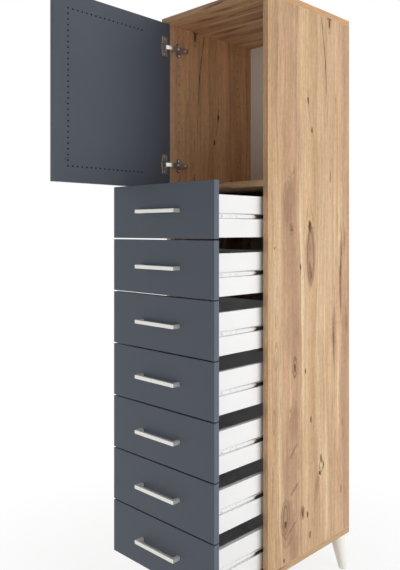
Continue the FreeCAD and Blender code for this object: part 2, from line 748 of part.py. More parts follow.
def makeHingeArms():
    """Mounting plates on the left panel, and the arms that they carry."""
    plates = []
    arms = []
    face = f"({pivot_across} + arm_face)"
    web_inside = f"({face} - arm_steel)"
    for name, level in hingeLevels():
        wing_size = ("plate_wing_thickness", "plate_wing_width", "plate_wing_height")
        wing_corner = (
            f"-{inner_half}",
            "plate_wing_start",
            f"{level} - plate_wing_height / 2",
        )
        wing = box(name + "_plate_wing", wing_size, wing_corner)
        block_length = "plate_block_end - plate_block_start"
        block_size = (f"{web_inside} + {inner_half}", block_length, "plate_block_width")
        block_corner = (f"-{inner_half}", "plate_block_start", f"{level} - plate_block_width / 2")
        block = box(name + "_plate_block", block_size, block_corner)
        plate_shanks = []
        for side, sign in (("a", "-"), ("b", "+")):
            screw_level = f"{level} {sign} pin_pitch / 2"
            seat = (f"-{inner_half} + plate_wing_thickness", "pin_front_inset", screw_level)
            size = ("pin_hole_diameter", "plate_screw_length", "plate_wing_thickness")
            shank, screw = makeScrew(f"{name}_plate_screw_{side}", *size, seat, "x")
            plate_shanks.append(shank)
            plates.append(screw)
        arm_shanks = []
        for side, depth in (("a", "pin_front_inset"), ("b", "arm_rear_screw")):
            size = ("hinge_screw_diameter", "arm_screw_length", "arm_steel")
            shank, screw = makeScrew(f"{name}_arm_screw_{side}", *size, (face, depth, level), "x")
            arm_shanks.append(shank)
            arms.append(screw)
        plate_blank = fuse(name + "_plate_blank", [wing, block])
        plates.append(cut(name + "_plate", plate_blank, [*plate_shanks, *arm_shanks]))
        arms += makeArm(name, level, face, web_inside, arm_shanks)
    keep(group("mounting_plates", plates), "hinge_mounting_plates")
    keep(group("arms", arms), "hinge_arms")


def makeArm(name, level, face, web_inside, shanks):
    """A channel over the mounting plate, whose cheeks carry the link's pin in front."""
    nose = f"({pivot_depth} + arm_nose)"
    web_start = f"({pivot_depth} + arm_web_start)"
    cheeks = []
    for side, low in (("a", "-arm_width / 2"), ("b", "arm_width / 2 - arm_steel")):
        cheek_size = ("arm_face - arm_foot", f"arm_end - {nose}", "arm_steel")
        cheek_corner = (f"{pivot_across} + arm_foot", nose, f"{level} + {low}")
        cheeks.append(box(f"{name}_cheek_{side}", cheek_size, cheek_corner))
    web_size = ("arm_steel", f"arm_end - {web_start}", "arm_width")
    web = box(name + "_web", web_size, (web_inside, web_start, f"{level} - arm_width / 2"))
    sweep_start = (pivot_across, pivot_depth, f"{level} - arm_width")
    corner_sweep = "2 * (sqrt(front_thickness ^ 2 + pivot_inset ^ 2) + arm_clearance)"
    sweep = rod(name + "_corner_sweep", corner_sweep, "2 * arm_width", sweep_start)
    pin_start = (
        f"{pivot_across} + link_pin_across",
        f"{pivot_depth} + link_pin_back",
        f"{level} - arm_width / 2",
    )
    pin = rod(name + "_link_pin", "link_pin_diameter", "arm_width", pin_start)
    blank = fuse(name + "_arm_blank", [*cheeks, web])
    return [cut(name + "_arm", blank, [sweep, pin, *shanks]), pin]


def makeLinks():
    """Bent links on the arms' pins; their other ends reach into the cups and touch nothing."""
    width = sheet.get("link_width")
    thickness = sheet.get("link_steel")
    pin = sheet.get("link_pin_diameter") / 2
    path = [
        FreeCAD.Vector(0, 0, -width / 2),
        FreeCAD.Vector(sheet.get("link_bend"), sheet.get("link_rise"), -width / 2),
        FreeCAD.Vector(sheet.get("link_reach"), 0, -width / 2),
    ]
    solids = [Part.makeCylinder(pin + sheet.get("link_eye_wall"), width, path[0])]
    for start, end in zip(path, path[1:]):
        run = end.sub(start)
        strap = Part.makeBox(run.Length, thickness, width, FreeCAD.Vector(0, -thickness / 2, 0))
        heading = math.degrees(math.atan2(run.y, run.x))
        strap.Placement = FreeCAD.Placement(start, FreeCAD.Rotation(FreeCAD.Vector(0, 0, 1), heading))
        solids += [strap, Part.makeCylinder(thickness / 2, width, end)]
    bore = Part.makeCylinder(pin + sheet.get("link_pin_clearance"), width, path[0])
    strap = doc.addObject("Part::Feature", "link_strap")
    strap.Shape = solids[0].multiFuse(solids[1:]).removeSplitter().cut(bore)
    rest = FreeCAD.Rotation(FreeCAD.Vector(0, 0, 1), -sheet.get("link_rest_angle"))
    links = []
    for name, level in hingeLevels():
        link = group(name + "_link", [strap])
        link.Placement.Rotation = rest
        place = (f"{pivot_across} + link_pin_across", f"{pivot_depth} + link_pin_back", level)
        links.append(put(link, place))
    keep(group("both_links", links), "hinge_links")


makeLegs(makeCarcass())
print("carcass and legs made")
makeOuterRunners()
for number in range(1, drawer_count + 1):
    makeDrawer(number)
print("drawers made")
makeDoor()
makeHingeArms()
makeLinks()
doc.recompute()
print("door made")

failed = [piece.Name for piece in doc.Objects if {"Invalid", "Error"} & set(piece.State)]
if failed:
    raise SystemExit("these objects failed: " + ", ".join(failed))
bad = [piece.Label for piece in subParts if piece.Shape.isNull() or not piece.Shape.isValid()]
if bad:
    raise SystemExit("these shapes are not valid: " + ", ".join(bad))
os.makedirs("parts", exist_ok=True)
for piece in subParts:
    piece.Shape.exportStep(f"parts/{piece.Label}.step")
print(len(subParts), "sub-parts written")
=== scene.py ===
import functools
import math

import bmesh
import bpy
import numpy as np
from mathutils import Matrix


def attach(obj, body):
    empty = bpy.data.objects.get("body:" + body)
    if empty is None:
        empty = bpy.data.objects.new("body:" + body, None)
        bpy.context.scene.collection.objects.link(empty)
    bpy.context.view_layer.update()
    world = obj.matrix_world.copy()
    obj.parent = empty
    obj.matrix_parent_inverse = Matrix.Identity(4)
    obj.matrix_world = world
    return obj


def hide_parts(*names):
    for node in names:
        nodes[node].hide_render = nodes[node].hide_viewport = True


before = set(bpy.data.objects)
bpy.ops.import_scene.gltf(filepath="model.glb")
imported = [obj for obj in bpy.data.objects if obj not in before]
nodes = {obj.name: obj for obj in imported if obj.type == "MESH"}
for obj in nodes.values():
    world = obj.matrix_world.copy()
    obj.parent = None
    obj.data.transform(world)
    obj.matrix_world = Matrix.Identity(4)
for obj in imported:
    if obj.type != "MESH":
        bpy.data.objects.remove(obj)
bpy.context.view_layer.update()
drawers = range(1, 8)
print("frame loaded with", len(nodes), "nodes")


# sRGB hex to linear colour, each channel by the two-part sRGB curve
def hexToLinear(text):
    srgb = np.array([int(text[i:i + 2], 16) for i in (1, 3, 5)]) / 255
    linear = np.where(srgb <= 0.04045, srgb / 12.92, ((srgb + 0.055) / 1.055) ** 2.4)
    return (*linear.tolist(), 1.0)


# sets a node's inputs, a dictionary by name or number or a row in the node's own order: each is a value, a
# socket, or a node that stands for its first output in use
def setInputs(node, inputs):
    for key, value in inputs.items() if isinstance(inputs, dict) else enumerate(inputs):
        if isinstance(value, bpy.types.Node):
            value = next(output for output in value.outputs if output.enabled)
        if isinstance(value, bpy.types.NodeSocket):
            node.id_data.links.new(value, node.inputs[key])
        else:
            node.inputs[key].default_value = value


# adds one node with its inputs, its operation if it has one, and its other properties as settings
def addNode(tree, kind, inputs=(), operation=None, **settings):
    node = tree.nodes.new("ShaderNode" + kind)
    if operation:
        node.operation = operation
    for name, value in settings.items():
        setattr(node, name, value)
    setInputs(node, inputs)
    return node


# sets a colour ramp's stops from (position, colour) pairs
def setRamp(node, stops):
    ramp = node.color_ramp
    while len(ramp.elements) > 1:
        ramp.elements.remove(ramp.elements[-1])
    ramp.elements[0].position, ramp.elements[0].color = stops[0]
    for position, colour in stops[1:]:
        ramp.elements.new(position).color = colour
    return node


# a new material: itself, addNode for its tree, its shader, and object coordinates in millimetres
def newMaterial(name, **shaderValues):
    material = bpy.data.materials.new(name)
    material.use_nodes = True
    shader = material.node_tree.nodes["Principled BSDF"]
    setInputs(shader, {key.replace("_", " "): value for key, value in shaderValues.items()})
    add = functools.partial(addNode, material.node_tree)
    place = add("TexCoord").outputs["Object"]
    return material, add, shader, add("VectorMath", {0: place, "Scale": 1000.0}, "SCALE")


# noise whose lumps are so many millimetres along x, y and z
def lumps(add, vector, size, detail=2.0, roughness=0.5):
    scaled = add("Mapping", {"Vector": vector, "Scale": [1 / length for length in size]})
    return add("TexNoise", {"Vector": scaled, "Scale": 1.0, "Detail": detail, "Roughness": roughness})


# a coated surface: its colour times a shade, and from one pattern its roughness and its relief in mm
def coat(add, shader, colour, shade, pattern, roughness, relief, strength):
    base = add("VectorMath", {0: hexToLinear(colour)[:3], "Scale": shade}, "SCALE")
    rough = add("MapRange", (pattern, 0.3, 0.7, *roughness))
    bump = add("Bump", {"Height": pattern, "Distance": relief / 1000, "Strength": strength})
    setInputs(shader, {"Base Color": base, "Roughness": rough, "Normal": bump})
    return base


# gives CAD nodes a material
def paint(material, *names):
    for name in names:
        slots = nodes[name].data.materials
        slots.clear()
        slots.append(material)


view = {
    "place": (1.4175, -1.4143, 1.1224),  # metres
    "turn": 43.2,  # degrees about the upright
    "lens": 40.84,
    "shift": (-0.0609, -0.0956),
}
scene = bpy.context.scene
camera = bpy.data.objects.new("camera", bpy.data.cameras.new("camera"))
camera.location = view["place"]
camera.rotation_euler = (math.radians(90), 0, math.radians(view["turn"]))
camera.data.lens = view["lens"]
camera.data.sensor_width = 36
camera.data.shift_x, camera.data.shift_y = view["shift"]
scene.collection.objects.link(camera)
scene.camera = camera
scene.view_settings.view_transform = "Standard"

studio = {
    "sky": 0.36,  # level of the even light from all round
    "skyTint": "#f5f7fa",
    "lamps": (  # place, aim, size in metres, watts
        ((3.0, 0.75, 1.15), (0.2, 0.1, 0.9), 2.4, 60),
        ((-3.0, 0.75, 1.15), (-0.2, 0.1, 0.9), 2.4, 50),
        ((0.1, -2.2, 0.4), (0.0, 0.0, 0.6), 1.2, 12),
    ),
    "floorColour": "#f4f3f1",
    "floorReach": 9.0,
    "floorFade": (250.0, 1100.0, 0.8, 1.0),  # mm from the middle, and how white the camera sees it from there
}

world = bpy.data.worlds.new("studio")
scene.world = world
world.use_nodes = True
world.node_tree.nodes.clear()
add = functools.partial(addNode, world.node_tree)
skyLight = add("Background", (hexToLinear(studio["skyTint"]), studio["sky"]))
skyWhite = add("Background", ((1, 1, 1, 1), 1.0))
ray = add("LightPath").outputs
seen = add("Math", (ray["Is Camera Ray"], ray["Is Glossy Ray"]), "MAXIMUM")
seen = add("Math", (seen, ray["Is Transmission Ray"]), "MAXIMUM")
skyMix = add("MixShader", (seen, skyLight, skyWhite))
add("OutputWorld", {"Surface": skyMix})

for number, (place, aim, size, watts) in enumerate(studio["lamps"]):
    lamp = bpy.data.lights.new(f"softbox_{number}", "AREA")
    lamp.shape = "SQUARE"
    lamp.size = size
    lamp.energy = watts
    holder = bpy.data.objects.new(lamp.name, lamp)
    holder.location = place
    away = np.array(place) - np.array(aim)
    across = math.hypot(away[0], away[1])
    holder.rotation_euler = (math.atan2(across, away[2]), 0, math.atan2(away[1], away[0]) + math.pi / 2)
    holder.visible_camera = False
    holder.visible_glossy = False
    scene.collection.objects.link(holder)

# painted studio floor: pale and matt; seen by the camera it brightens to white away from the object
floorMaterial, add, shader, mm = newMaterial("pale studio floor", Roughness=0.9, Specular_IOR_Level=0.0)
shader.inputs["Base Color"].default_value = hexToLinear(studio["floorColour"])
ray = add("LightPath").outputs
seen = add("Math", (ray["Is Camera Ray"], ray["Is Glossy Ray"]), "MAXIMUM")
farness = add("VectorMath", (mm,), "LENGTH")
fade = add("MapRange", (farness, *studio["floorFade"]))
whiten = add("Math", (fade, seen), "MULTIPLY")
glow = add("Emission", ((1, 1, 1, 1), 1.0))
floorMix = add("MixShader", (whiten, shader, glow))
setInputs(floorMaterial.node_tree.nodes["Material Output"], {"Surface": floorMix})
reach = studio["floorReach"]
floorMesh = bpy.data.meshes.new("floor")
corners = [(-reach, -reach, 0), (reach, -reach, 0), (reach, reach, 0), (-reach, reach, 0)]
floorMesh.from_pydata(corners, [], [(0, 1, 2, 3)])
floorMesh.materials.append(floorMaterial)
floor = bpy.data.objects.new("floor", floorMesh)
scene.collection.objects.link(floor)
print("camera, light and floor set")


# faces of a grid of rows by columns; columns close into a ring
def gridFaces(rows, columns):
    i, j = np.meshgrid(np.arange(rows - 1) * columns, np.arange(columns), indexing="ij")
    k = (j + 1) % columns
    return np.stack([i + j, i + k, i + columns + k, i + columns + j], axis=-1).reshape(-1, 4)


# a closed solid from a stack of rings: walls between neighbouring rings and a lid on each end
def ringSolid(rings):
    rings = np.asarray(rings, float)
    rows, columns = rings.shape[:2]
    first = list(range(columns))[::-1]
    last = list(range((rows - 1) * columns, rows * columns))
    return rings.reshape(-1, 3), gridFaces(rows, columns).tolist() + [first, last]


# several shapes in one: points stacked, faces renumbered
def joined(shapes):
    starts = np.cumsum([0] + [len(points) for points, faces in shapes[:-1]])
    points = np.concatenate([points for points, faces in shapes])
    return points, [[v + start for v in face] for start, (p, faces) in zip(starts, shapes) for face in faces]


# local x, y and z = x cross y laid along two directions from an origin
def placed(shape, origin, along, side):
    points, faces = shape
    axes = np.array([along, side, np.cross(along, side)], float)
    return points @ axes + np.array(origin, float), faces


# the same shape on the other side of the cabinet: x changes sign
def mirrored(shape):
    points, faces = shape
    return points * [-1, 1, 1], faces


# a rectangle with round corners: at each angle, its quarter's corner centre plus the corner's radius
def roundedRectangle(width, height, radius, steps=5):
    quarter = np.repeat(np.arange(4), steps + 1)
    angle = (quarter + np.tile(np.linspace(0, 1, steps + 1), 4)) * np.pi / 2
    signs = np.array([(1, 1), (-1, 1), (-1, -1), (1, -1)])[quarter]
    centres = signs * [width / 2 - radius, height / 2 - radius]
    return centres + radius * np.stack([np.cos(angle), np.sin(angle)], axis=-1)


# an outline moved inwards: each point steps along the mean normal of its two edges
def inset(outline, distance):
    edges = [outline - np.roll(outline, 1, axis=0), np.roll(outline, -1, axis=0) - outline]
    tangent = sum(edge / np.linalg.norm(edge, axis=1, keepdims=True) for edge in edges)
    tangent /= np.linalg.norm(tangent, axis=1, keepdims=True)
    return outline + distance * np.stack([-tangent[:, 1], tangent[:, 0]], axis=-1)


# an outline raised from low to high, its rims eased by quarter rounds
def slab(outline, low, high, ease, steps=3):
    turn = np.linspace(0, np.pi / 2, steps + 1)
    levels = np.concatenate([low + ease * (1 - np.cos(turn)), high - ease * (1 - np.cos(turn[::-1]))])
    insets = np.concatenate([ease * (1 - np.sin(turn)), ease * (1 - np.sin(turn[::-1]))])
    rings = [np.column_stack([inset(outline, d), np.full(len(outline), z)]) for d, z in zip(insets, levels)]
    return ringSolid(rings)


# a turned or star-shaped solid: rings of radius r(angle) at heights h, both given ring by ring
def turned(radii, heights, columns=32):
    angle = np.linspace(0, 2 * np.pi, columns, endpoint=False)
    radii = np.stack([np.broadcast_to(r, columns) for r in radii])
    heights = np.stack([np.broadcast_to(h, columns) for h in heights])
    return ringSolid(np.stack([radii * np.cos(angle), radii * np.sin(angle), heights], axis=-1))


# radius to a cross's edge at each angle: the arm's end or its side, whichever the ray meets first
def crossRadius(reach, half, columns):
    angle = np.linspace(0, 2 * np.pi, columns, endpoint=False)
    fold = np.abs((angle + np.pi / 4) % (np.pi / 2) - np.pi / 4)
    return np.minimum(reach / np.cos(fold), half / np.maximum(np.sin(fold), 1e-3))


# a pan-head screw with a cross recess: rings rise from its seat, round over, and drop into the cross
def screwHead(diameter, height, columns=48):
    r = diameter / 2
    cross = crossRadius(r * 0.6, r * 0.17, columns)
    radii = [r * 0.96, r, r * 0.97, r * 0.82, r * 0.66, cross, cross * 0.8]
    heights = [0, height * 0.2, height * 0.6, height * 0.92, height, height, height * 0.1]
    return turned(radii, heights, columns)


# an open strip thickened to a closed outline: the path moved half the thickness to each side
def strip(path, thickness):
    path = np.asarray(path, float)
    tangent = np.gradient(path, axis=0)
    tangent /= np.linalg.norm(tangent, axis=1, keepdims=True)
    normal = np.stack([-tangent[:, 1], tangent[:, 0]], axis=-1) * thickness / 2
    return np.concatenate([path + normal, (path - normal)[::-1]])


# points along an arc: centre plus radius times cosine and sine, between two angles in degrees
def arc(centre, radius, start, end, steps=6):
    angle = np.radians(np.linspace(start, end, steps + 1))
    return np.stack([centre[0] + radius * np.cos(angle), centre[1] + radius * np.sin(angle)], axis=-1)


# an outline in x and z carried along y from one end to the other
def carried(outline, start, end):
    ring = np.insert(outline, 1, 0.0, axis=1)
    return ringSolid([ring + [0, start, 0], ring + [0, end, 0]])


# puts a finished mesh in the scene, faces outwards, smooth but for its sharp edges, riding on a body
def makePiece(name, shapes, material, body, slotName, *standsFor):
    points, faces = joined(shapes)
    mesh = bpy.data.meshes.new(name)
    mesh.from_pydata((points * 0.001).tolist(), [], faces)
    loose = bmesh.new()
    loose.from_mesh(mesh)
    bmesh.ops.recalc_face_normals(loose, faces=loose.faces)
    loose.to_mesh(mesh)
    loose.free()
    mesh.polygons.foreach_set("use_smooth", np.ones(len(mesh.polygons), bool))
    mesh.set_sharp_from_angle(angle=math.radians(35))
    mesh.materials.append(material)
    piece = bpy.data.objects.new(name, mesh)
    scene.collection.objects.link(piece)
    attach(piece, body)
    if standsFor:
        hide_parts(*standsFor)
    return piece


oak = {
    "base": (  # the boards' tone across the side, 0 at the front edge, 1 at the rear
        (0.0, "#ccaa82"), (0.057, "#caa680"), (0.12, "#cca884"), (0.15, "#cba683"), (0.33, "#cda985"),
        (0.37, "#d5b48f"), (0.45, "#d3b08a"), (0.466, "#d1ae88"), (0.5, "#cba883"), (0.595, "#d2af8a"),
        (0.75, "#d7b58f"), (0.862, "#d0ac88"), (0.89, "#c6a182"), (0.915, "#c8a485"), (1.0, "#caa888"),
    ),
    "heart": (  # how much of the pinkish heartwood shows across the side
        (0.0, 0.0), (0.14, 0.0), (0.165, 0.45), (0.2, 0.4), (0.225, 0.15), (0.27, 0.3), (0.29, 0.5),
        (0.32, 0.45), (0.37, 0.0), (0.47, 0.0), (0.5, 0.2), (0.56, 0.05), (0.65, 0.15), (0.72, 0.3),
        (0.8, 0.1), (0.9, 0.35), (1.0, 0.2),
    ),
    "heartColour": "#a47f68",
    "paleColour": "#e6cda9",
    "knotColour": "#4e2510",
    "width": 440.0,  # mm across a side
    "bends": ((120, 520, 1.0, 18.0), (22, 90, 2.0, 3.0)),  # mm across and along, detail, and sway in mm
    "grains": {  # mm across and along, detail, roughness, the noise's range and the shades it gives
        "lines": (8, 480, 6.0, 0.72, 0.33, 0.65, 0.8, 1.13),  # year lines
        "fibres": (3, 40, 2.0, 0.5, 0.3, 0.7, 0.85, 1.11),  # coarser than the real 0.3 mm, to show
        "bands": (15, 900, 1.0, 0.5, 0.4, 0.6, 0.93, 1.06),  # paler and darker bands
        "pores": (1.8, 22, 1.0, 0.5, 0.6, 0.74, 1.0, 0.76),  # open pores pressed in the paper's texture
        "clouds": (38, 260, 2.0, 0.5, 0.35, 0.65, 1.05, 0.95),
        "mottle": (4, 12, 3.0, 0.7, 0.3, 0.7, 0.9, 1.09),
    },
    "straight": ("pores", "mottle"),  # the patterns that don't go round the knots
    "redness": (0.85, 1.0, 1.12),  # powers of the shade for each channel: darker grain is redder
    "feather": 0.03,  # how far the tones' borders fray, as a share of the width
    "fray": (9.0, 30.0),  # how far the stains' borders fray across and along, mm
    "edges": (200.0, 20.0),  # what brings a place across a board's narrow edge near 0, mm
    "bulgeReach": 1.6,  # bulges, stains and marks fade out so much wider than their cores
    "stainReach": 1.3,
    "markReach": 1.5,
    "fine": 2.5,  # narrower marks have clean edges, mm
    "ragged": ((5, 11, 1), (7.0, 16.0, 0.0)),  # lumps and reach of the other marks' ragged edges, mm
    "mark": (0.05, 0.55),  # on the way from rim to middle, where a mark's darkness starts and is full
    "ring": (0.1, 0.33, 0.6, 0.12),  # the same for a ring's start, peak and end, and the share left inside it
    "worn": (0.35, 0.6, 0.75, 1.1),  # the fibres' range, and the share of the marks' darkness that it gives
    "patches": (0.35, 0.62, 0.2, 0.75),  # the clouds' range, and the share of the heartwood that it gives
    "gloss": (0.4, 0.7, 0.44, 0.58),  # the pores' range, and the roughness that it gives
    "relief": (-0.8, 0.06, 0.5),  # the pores' depth beside the fibres' height, the whole in mm, strength
    "bulges": (  # grain that goes round a knot: across, along, half width, half length in mm
        (303, 1788, 14, 28), (192, 1520, 9, 26), (203, 1060, 26, 125), (125, 715, 17, 36),
        (80, 272, 22, 50), (260, 382, 16, 32), (164, 264, 11, 20), (110, 1128, 16, 26),
    ),
    "stains": (  # heartwood, or pale wood below zero: across, along, half sizes, share
        (34, 1640, 10, 190, 0.5), (132, 1480, 12, 210, 0.45), (95, 1205, 32, 85, 0.75),
        (128, 1230, 16, 110, 0.5), (108, 1010, 34, 150, 0.5), (110, 820, 34, 100, 0.6),
        (118, 545, 24, 60, 0.75), (112, 420, 34, 80, 0.5), (92, 250, 36, 80, 0.55), (120, 180, 30, 60, 0.6),
        (204, 1042, 17, 82, 0.6), (366, 985, 9, 110, 0.9), (374, 1080, 5, 70, 0.7), (394, 1095, 8, 60, 0.7),
        (386, 640, 22, 240, 0.5), (366, 890, 6, 60, 0.7), (400, 820, 6, 60, 0.7), (326, 780, 8, 110, 0.7),
        (161, 900, 12, 330, -0.7), (84, 1270, 15, 7, -0.6), (258, 378, 9, 13, -0.9),
        (172, 700, 12, 120, -0.5), (360, 1150, 5, 150, -0.6), (40, 980, 24, 260, -0.35),
        (250, 700, 20, 300, -0.3), (280, 1060, 60, 260, -0.25), (58, 500, 8, 330, -0.5),
        (60, 330, 10, 140, -0.5), (285, 330, 14, 200, -0.4), (353, 560, 6, 200, -0.5),
    ),
    "rings": (  # a knot's ring: across, along, half width, half length, darkness
        (204, 1042, 16, 80, 0.45), (125, 712, 10, 28, 0.6), (125, 739, 4, 7, 0.6), (260, 380, 11, 17, 0.65),
        (80, 277, 10, 30, 0.6), (80, 274, 18, 46, 0.3), (303, 1780, 9, 26, 0.3), (37, 755, 8, 36, 0.3),
        (27, 568, 6, 32, 0.35), (163, 262, 9, 18, 0.4), (110, 1128, 9, 16, 0.3),
    ),
    "marks": (  # knots and cracks: from across, along to across, along; half width; darkness
        (294, 1800, 313, 1800, 5, 0.8), (304, 1800, 304, 1768, 5, 0.9), (259, 1808, 272, 1722, 1.7, 0.8),
        (270, 1745, 281, 1662, 1.9, 0.85), (279, 1688, 287, 1606, 2.0, 0.9),
        (285, 1640, 291, 1530, 1.5, 0.7), (290, 1560, 294, 1440, 1.2, 0.45),
        (191, 1535, 192, 1508, 3.6, 1.0), (189, 1560, 191, 1530, 2.0, 0.5),
        (194, 1505, 204, 1445, 1.3, 0.45), (211, 1442, 211, 1426, 3.8, 0.9),
        (208, 1436, 208, 1424, 3.0, 0.4), (340, 1582, 341, 1490, 1.6, 0.4),
        (120, 1640, 118, 1560, 1.2, 0.3), (309, 1322, 309, 1268, 2.2, 0.85),
        (309, 1272, 310, 1220, 1.4, 0.45), (347, 1215, 349, 1090, 2.0, 0.4),
        (376, 1328, 376, 1255, 1.4, 0.35), (126, 1308, 112, 1288, 2.6, 0.5),
        (109, 1139, 111, 1122, 5, 0.55), (105, 1124, 117, 1121, 3, 0.8), (200, 1149, 201, 1118, 7.5, 0.95),
        (193, 1136, 212, 1128, 6, 0.6), (195, 1212, 180, 1138, 1.6, 0.45),
        (197, 1212, 226, 1136, 1.6, 0.45), (204, 1016, 205, 966, 6, 0.45), (207, 1000, 206, 966, 4, 0.8),
        (200, 1030, 199, 985, 3, 0.6), (199, 1090, 200, 1040, 3, 0.25), (152, 1020, 153, 1002, 3.2, 1.0),
        (153, 1000, 156, 985, 1.5, 0.4), (377, 1096, 370, 1020, 2.6, 0.5), (371, 1040, 364, 950, 5, 0.6),
        (364, 975, 366, 880, 3.2, 0.5), (393, 1125, 393, 1062, 2.6, 0.5), (30, 1074, 30, 1068, 2.6, 0.7),
        (32, 900, 36, 820, 2.5, 0.3), (125, 724, 126, 698, 4.5, 1.0), (110, 690, 109, 640, 1.6, 0.35),
        (177, 698, 178, 684, 3.0, 0.95), (324, 872, 326, 688, 4.2, 0.45), (326, 806, 327, 742, 5, 0.6),
        (367, 930, 369, 856, 2.6, 0.5), (401, 860, 401, 780, 2.6, 0.5), (205, 547, 205, 529, 3.6, 0.85),
        (378, 515, 378, 474, 2.0, 0.6), (22, 470, 22, 285, 2.6, 0.4), (58, 640, 58, 560, 1.2, 0.35),
        (258, 416, 258, 396, 5, 0.8), (272, 392, 268, 366, 4, 0.85), (248, 365, 257, 354, 3.6, 0.95),
        (244, 356, 231, 306, 8, 0.35), (240, 320, 226, 280, 9, 0.2), (140, 484, 95, 436, 5, 0.4),
        (128, 480, 92, 430, 3, 0.3), (143, 362, 102, 330, 6, 0.4), (146, 258, 80, 210, 3, 0.5),
        (62, 236, 82, 208, 3, 0.45), (62, 262, 80, 228, 2.5, 0.45), (80, 228, 104, 256, 2.5, 0.4),
        (66, 204, 80, 186, 2.5, 0.3), (120, 214, 84, 180, 3, 0.3), (80, 262, 81, 244, 5, 0.85),
        (163, 278, 164, 248, 6, 0.85), (187, 259, 188, 241, 3.6, 1.0), (201, 195, 201, 172, 3.8, 0.9),
        (370, 294, 370, 258, 2.4, 0.8), (73, 154, 73, 144, 3.4, 0.8), (381, 470, 381, 430, 1.5, 0.45),
    ),
    "cracks": (  # the same for the boards that lie flat: across is their depth and along their width
        (6, -22, 13, 78, 3, 0.5), (27, -98, 60, -44, 4, 0.5), (186, -146, 178, -55, 4, 0.55),
        (92, -133, 136, -53, 3, 0.4), (150, 20, 142, 130, 3, 0.45), (70, -10, 74, 30, 3, 0.6),
    ),
    "streaks": (
        (10, 30, 8, 60, 0.8), (44, -70, 10, 60, 0.9), (182, -100, 12, 80, 0.9), (314, -175, 14, 60, 0.7),
        (114, -93, 9, 70, 0.7), (146, 75, 12, 100, 0.9), (243, 0, 14, 130, 0.8), (326, -5, 12, 150, 0.7),
        (63, 115, 10, 100, 0.8), (115, 125, 14, 110, 0.6), (203, 150, 10, 90, 0.8), (276, 85, 14, 120, 0.7),
        (356, 70, 13, 150, 0.7), (223, -155, 9, 70, 0.7), (387, -55, 12, 160, 0.7), (90, 20, 8, 140, -0.6),
        (165, -20, 9, 160, -0.6), (215, 60, 7, 160, -0.5), (300, 60, 9, 160, -0.5), (30, 60, 7, 120, -0.5),
    ),
}
smooth = {"interpolation_type": "SMOOTHSTEP"}  # eases both ends of a range
rawBoard = {"glue": "#a8875f", "chip": "#d9bd92", "chipSize": 2.6}  # chips are 1 to 4 mm


# an ellipse on the board's plane: its own coordinates, and a hill of 1 at its middle that ends at its rim
def ellipse(add, vector, middle, halfSizes, lean=0.0):
    inputs = {"Vector": vector, "Location": (*middle, 0), "Rotation": (0, 0, lean), "Scale": (*halfSizes, 1)}
    own = add("Mapping", inputs, vector_type="TEXTURE")
    return own, add("TexGradient", (own,), gradient_type="SPHERICAL").outputs["Fac"]


# the place across and along a board's grain, from x, y and z by which way the face looks; small letters are
# places across a board's narrow edge, brought near 0 where the print is plain
def boardPlane(add, mm, outward, patterns, fromRear):
    x, y, z = add("SeparateXYZ", (mm,)).outputs
    sideways = add("Math", (x,), "ABSOLUTE")
    parts = {
        "X": x, "Y": y, "Z": z,
        "x": add("Math", (sideways, oak["edges"][0]), "SUBTRACT"),
        "z": add("Math", (z, oak["edges"][1]), "MODULO"),
    }
    facing = add("VectorMath", (outward,), "ABSOLUTE")
    rows = [add("CombineXYZ", [parts[letter] for letter in pattern]) for pattern in patterns]
    across, along = [add("VectorMath", (facing, row), "DOT_PRODUCT") for row in rows]
    if fromRear:
        across = add("Math", (fromRear, across), "SUBTRACT")
    return across, along


# the grain's own coordinate: it wanders, and goes round the knots
def grainFlow(add, across, plane, bulges):
    flow = across
    for wide, long, detail, sway in oak["bends"]:
        bend = add("MapRange", (lumps(add, plane, (wide, long, 1), detail), 0.0, 1.0, -sway, sway))
        flow = add("Math", (flow, bend), "ADD")
    reach = oak["bulgeReach"]
    for a, z, halfWidth, halfLength in bulges:
        own, hill = ellipse(add, plane, (a, z), (halfWidth * reach, halfLength * reach))
        side = add("Math", (add("SeparateXYZ", (own,)), hill), "MULTIPLY")
        flow = add("Math", (side, -halfWidth * reach, flow), "MULTIPLY_ADD")
    return flow


# how dark knots, their rings and cracks make the print: cracks are fine lines, and the rest have ragged edges
def knotShare(add, plane, marks, rings):
    size, push = oak["ragged"]
    ragged = lumps(add, plane, size, 3.0).outputs["Color"]
    ragged = add("VectorMath", (ragged, (0.5, 0.5, 0.5)), "SUBTRACT")
    ragged = add("VectorMath", (ragged, push, plane), "MULTIPLY_ADD")
    reach, spots = oak["markReach"], 0.0
    for a, z, a2, z2, halfWidth, depth in marks:
        halfSizes = (halfWidth * reach, math.hypot(a2 - a, z2 - z) / 2 + halfWidth * reach)
        surface = plane if halfWidth < oak["fine"] else ragged
        middle, lean = ((a + a2) / 2, (z + z2) / 2), -math.atan2(a2 - a, z2 - z)
        hill = ellipse(add, surface, middle, halfSizes, lean)[1]
        mark = add("MapRange", (hill, *oak["mark"], 0.0, depth), **smooth)
        spots = add("Math", (spots, mark), "MAXIMUM")
    start, peak, end, inner = oak["ring"]
    for a, z, halfWidth, halfLength, depth in rings:
        hill = ellipse(add, ragged, (a, z), (halfWidth * reach, halfLength * reach))[1]
        rise = add("MapRange", (hill, start, peak, 0.0, 1.0), **smooth)
        fall = add("MapRange", (hill, peak, end, depth, inner * depth), **smooth)
        ring = add("Math", (rise, fall), "MULTIPLY")
        spots = add("Math", (spots, ring), "MAXIMUM")
    return spots


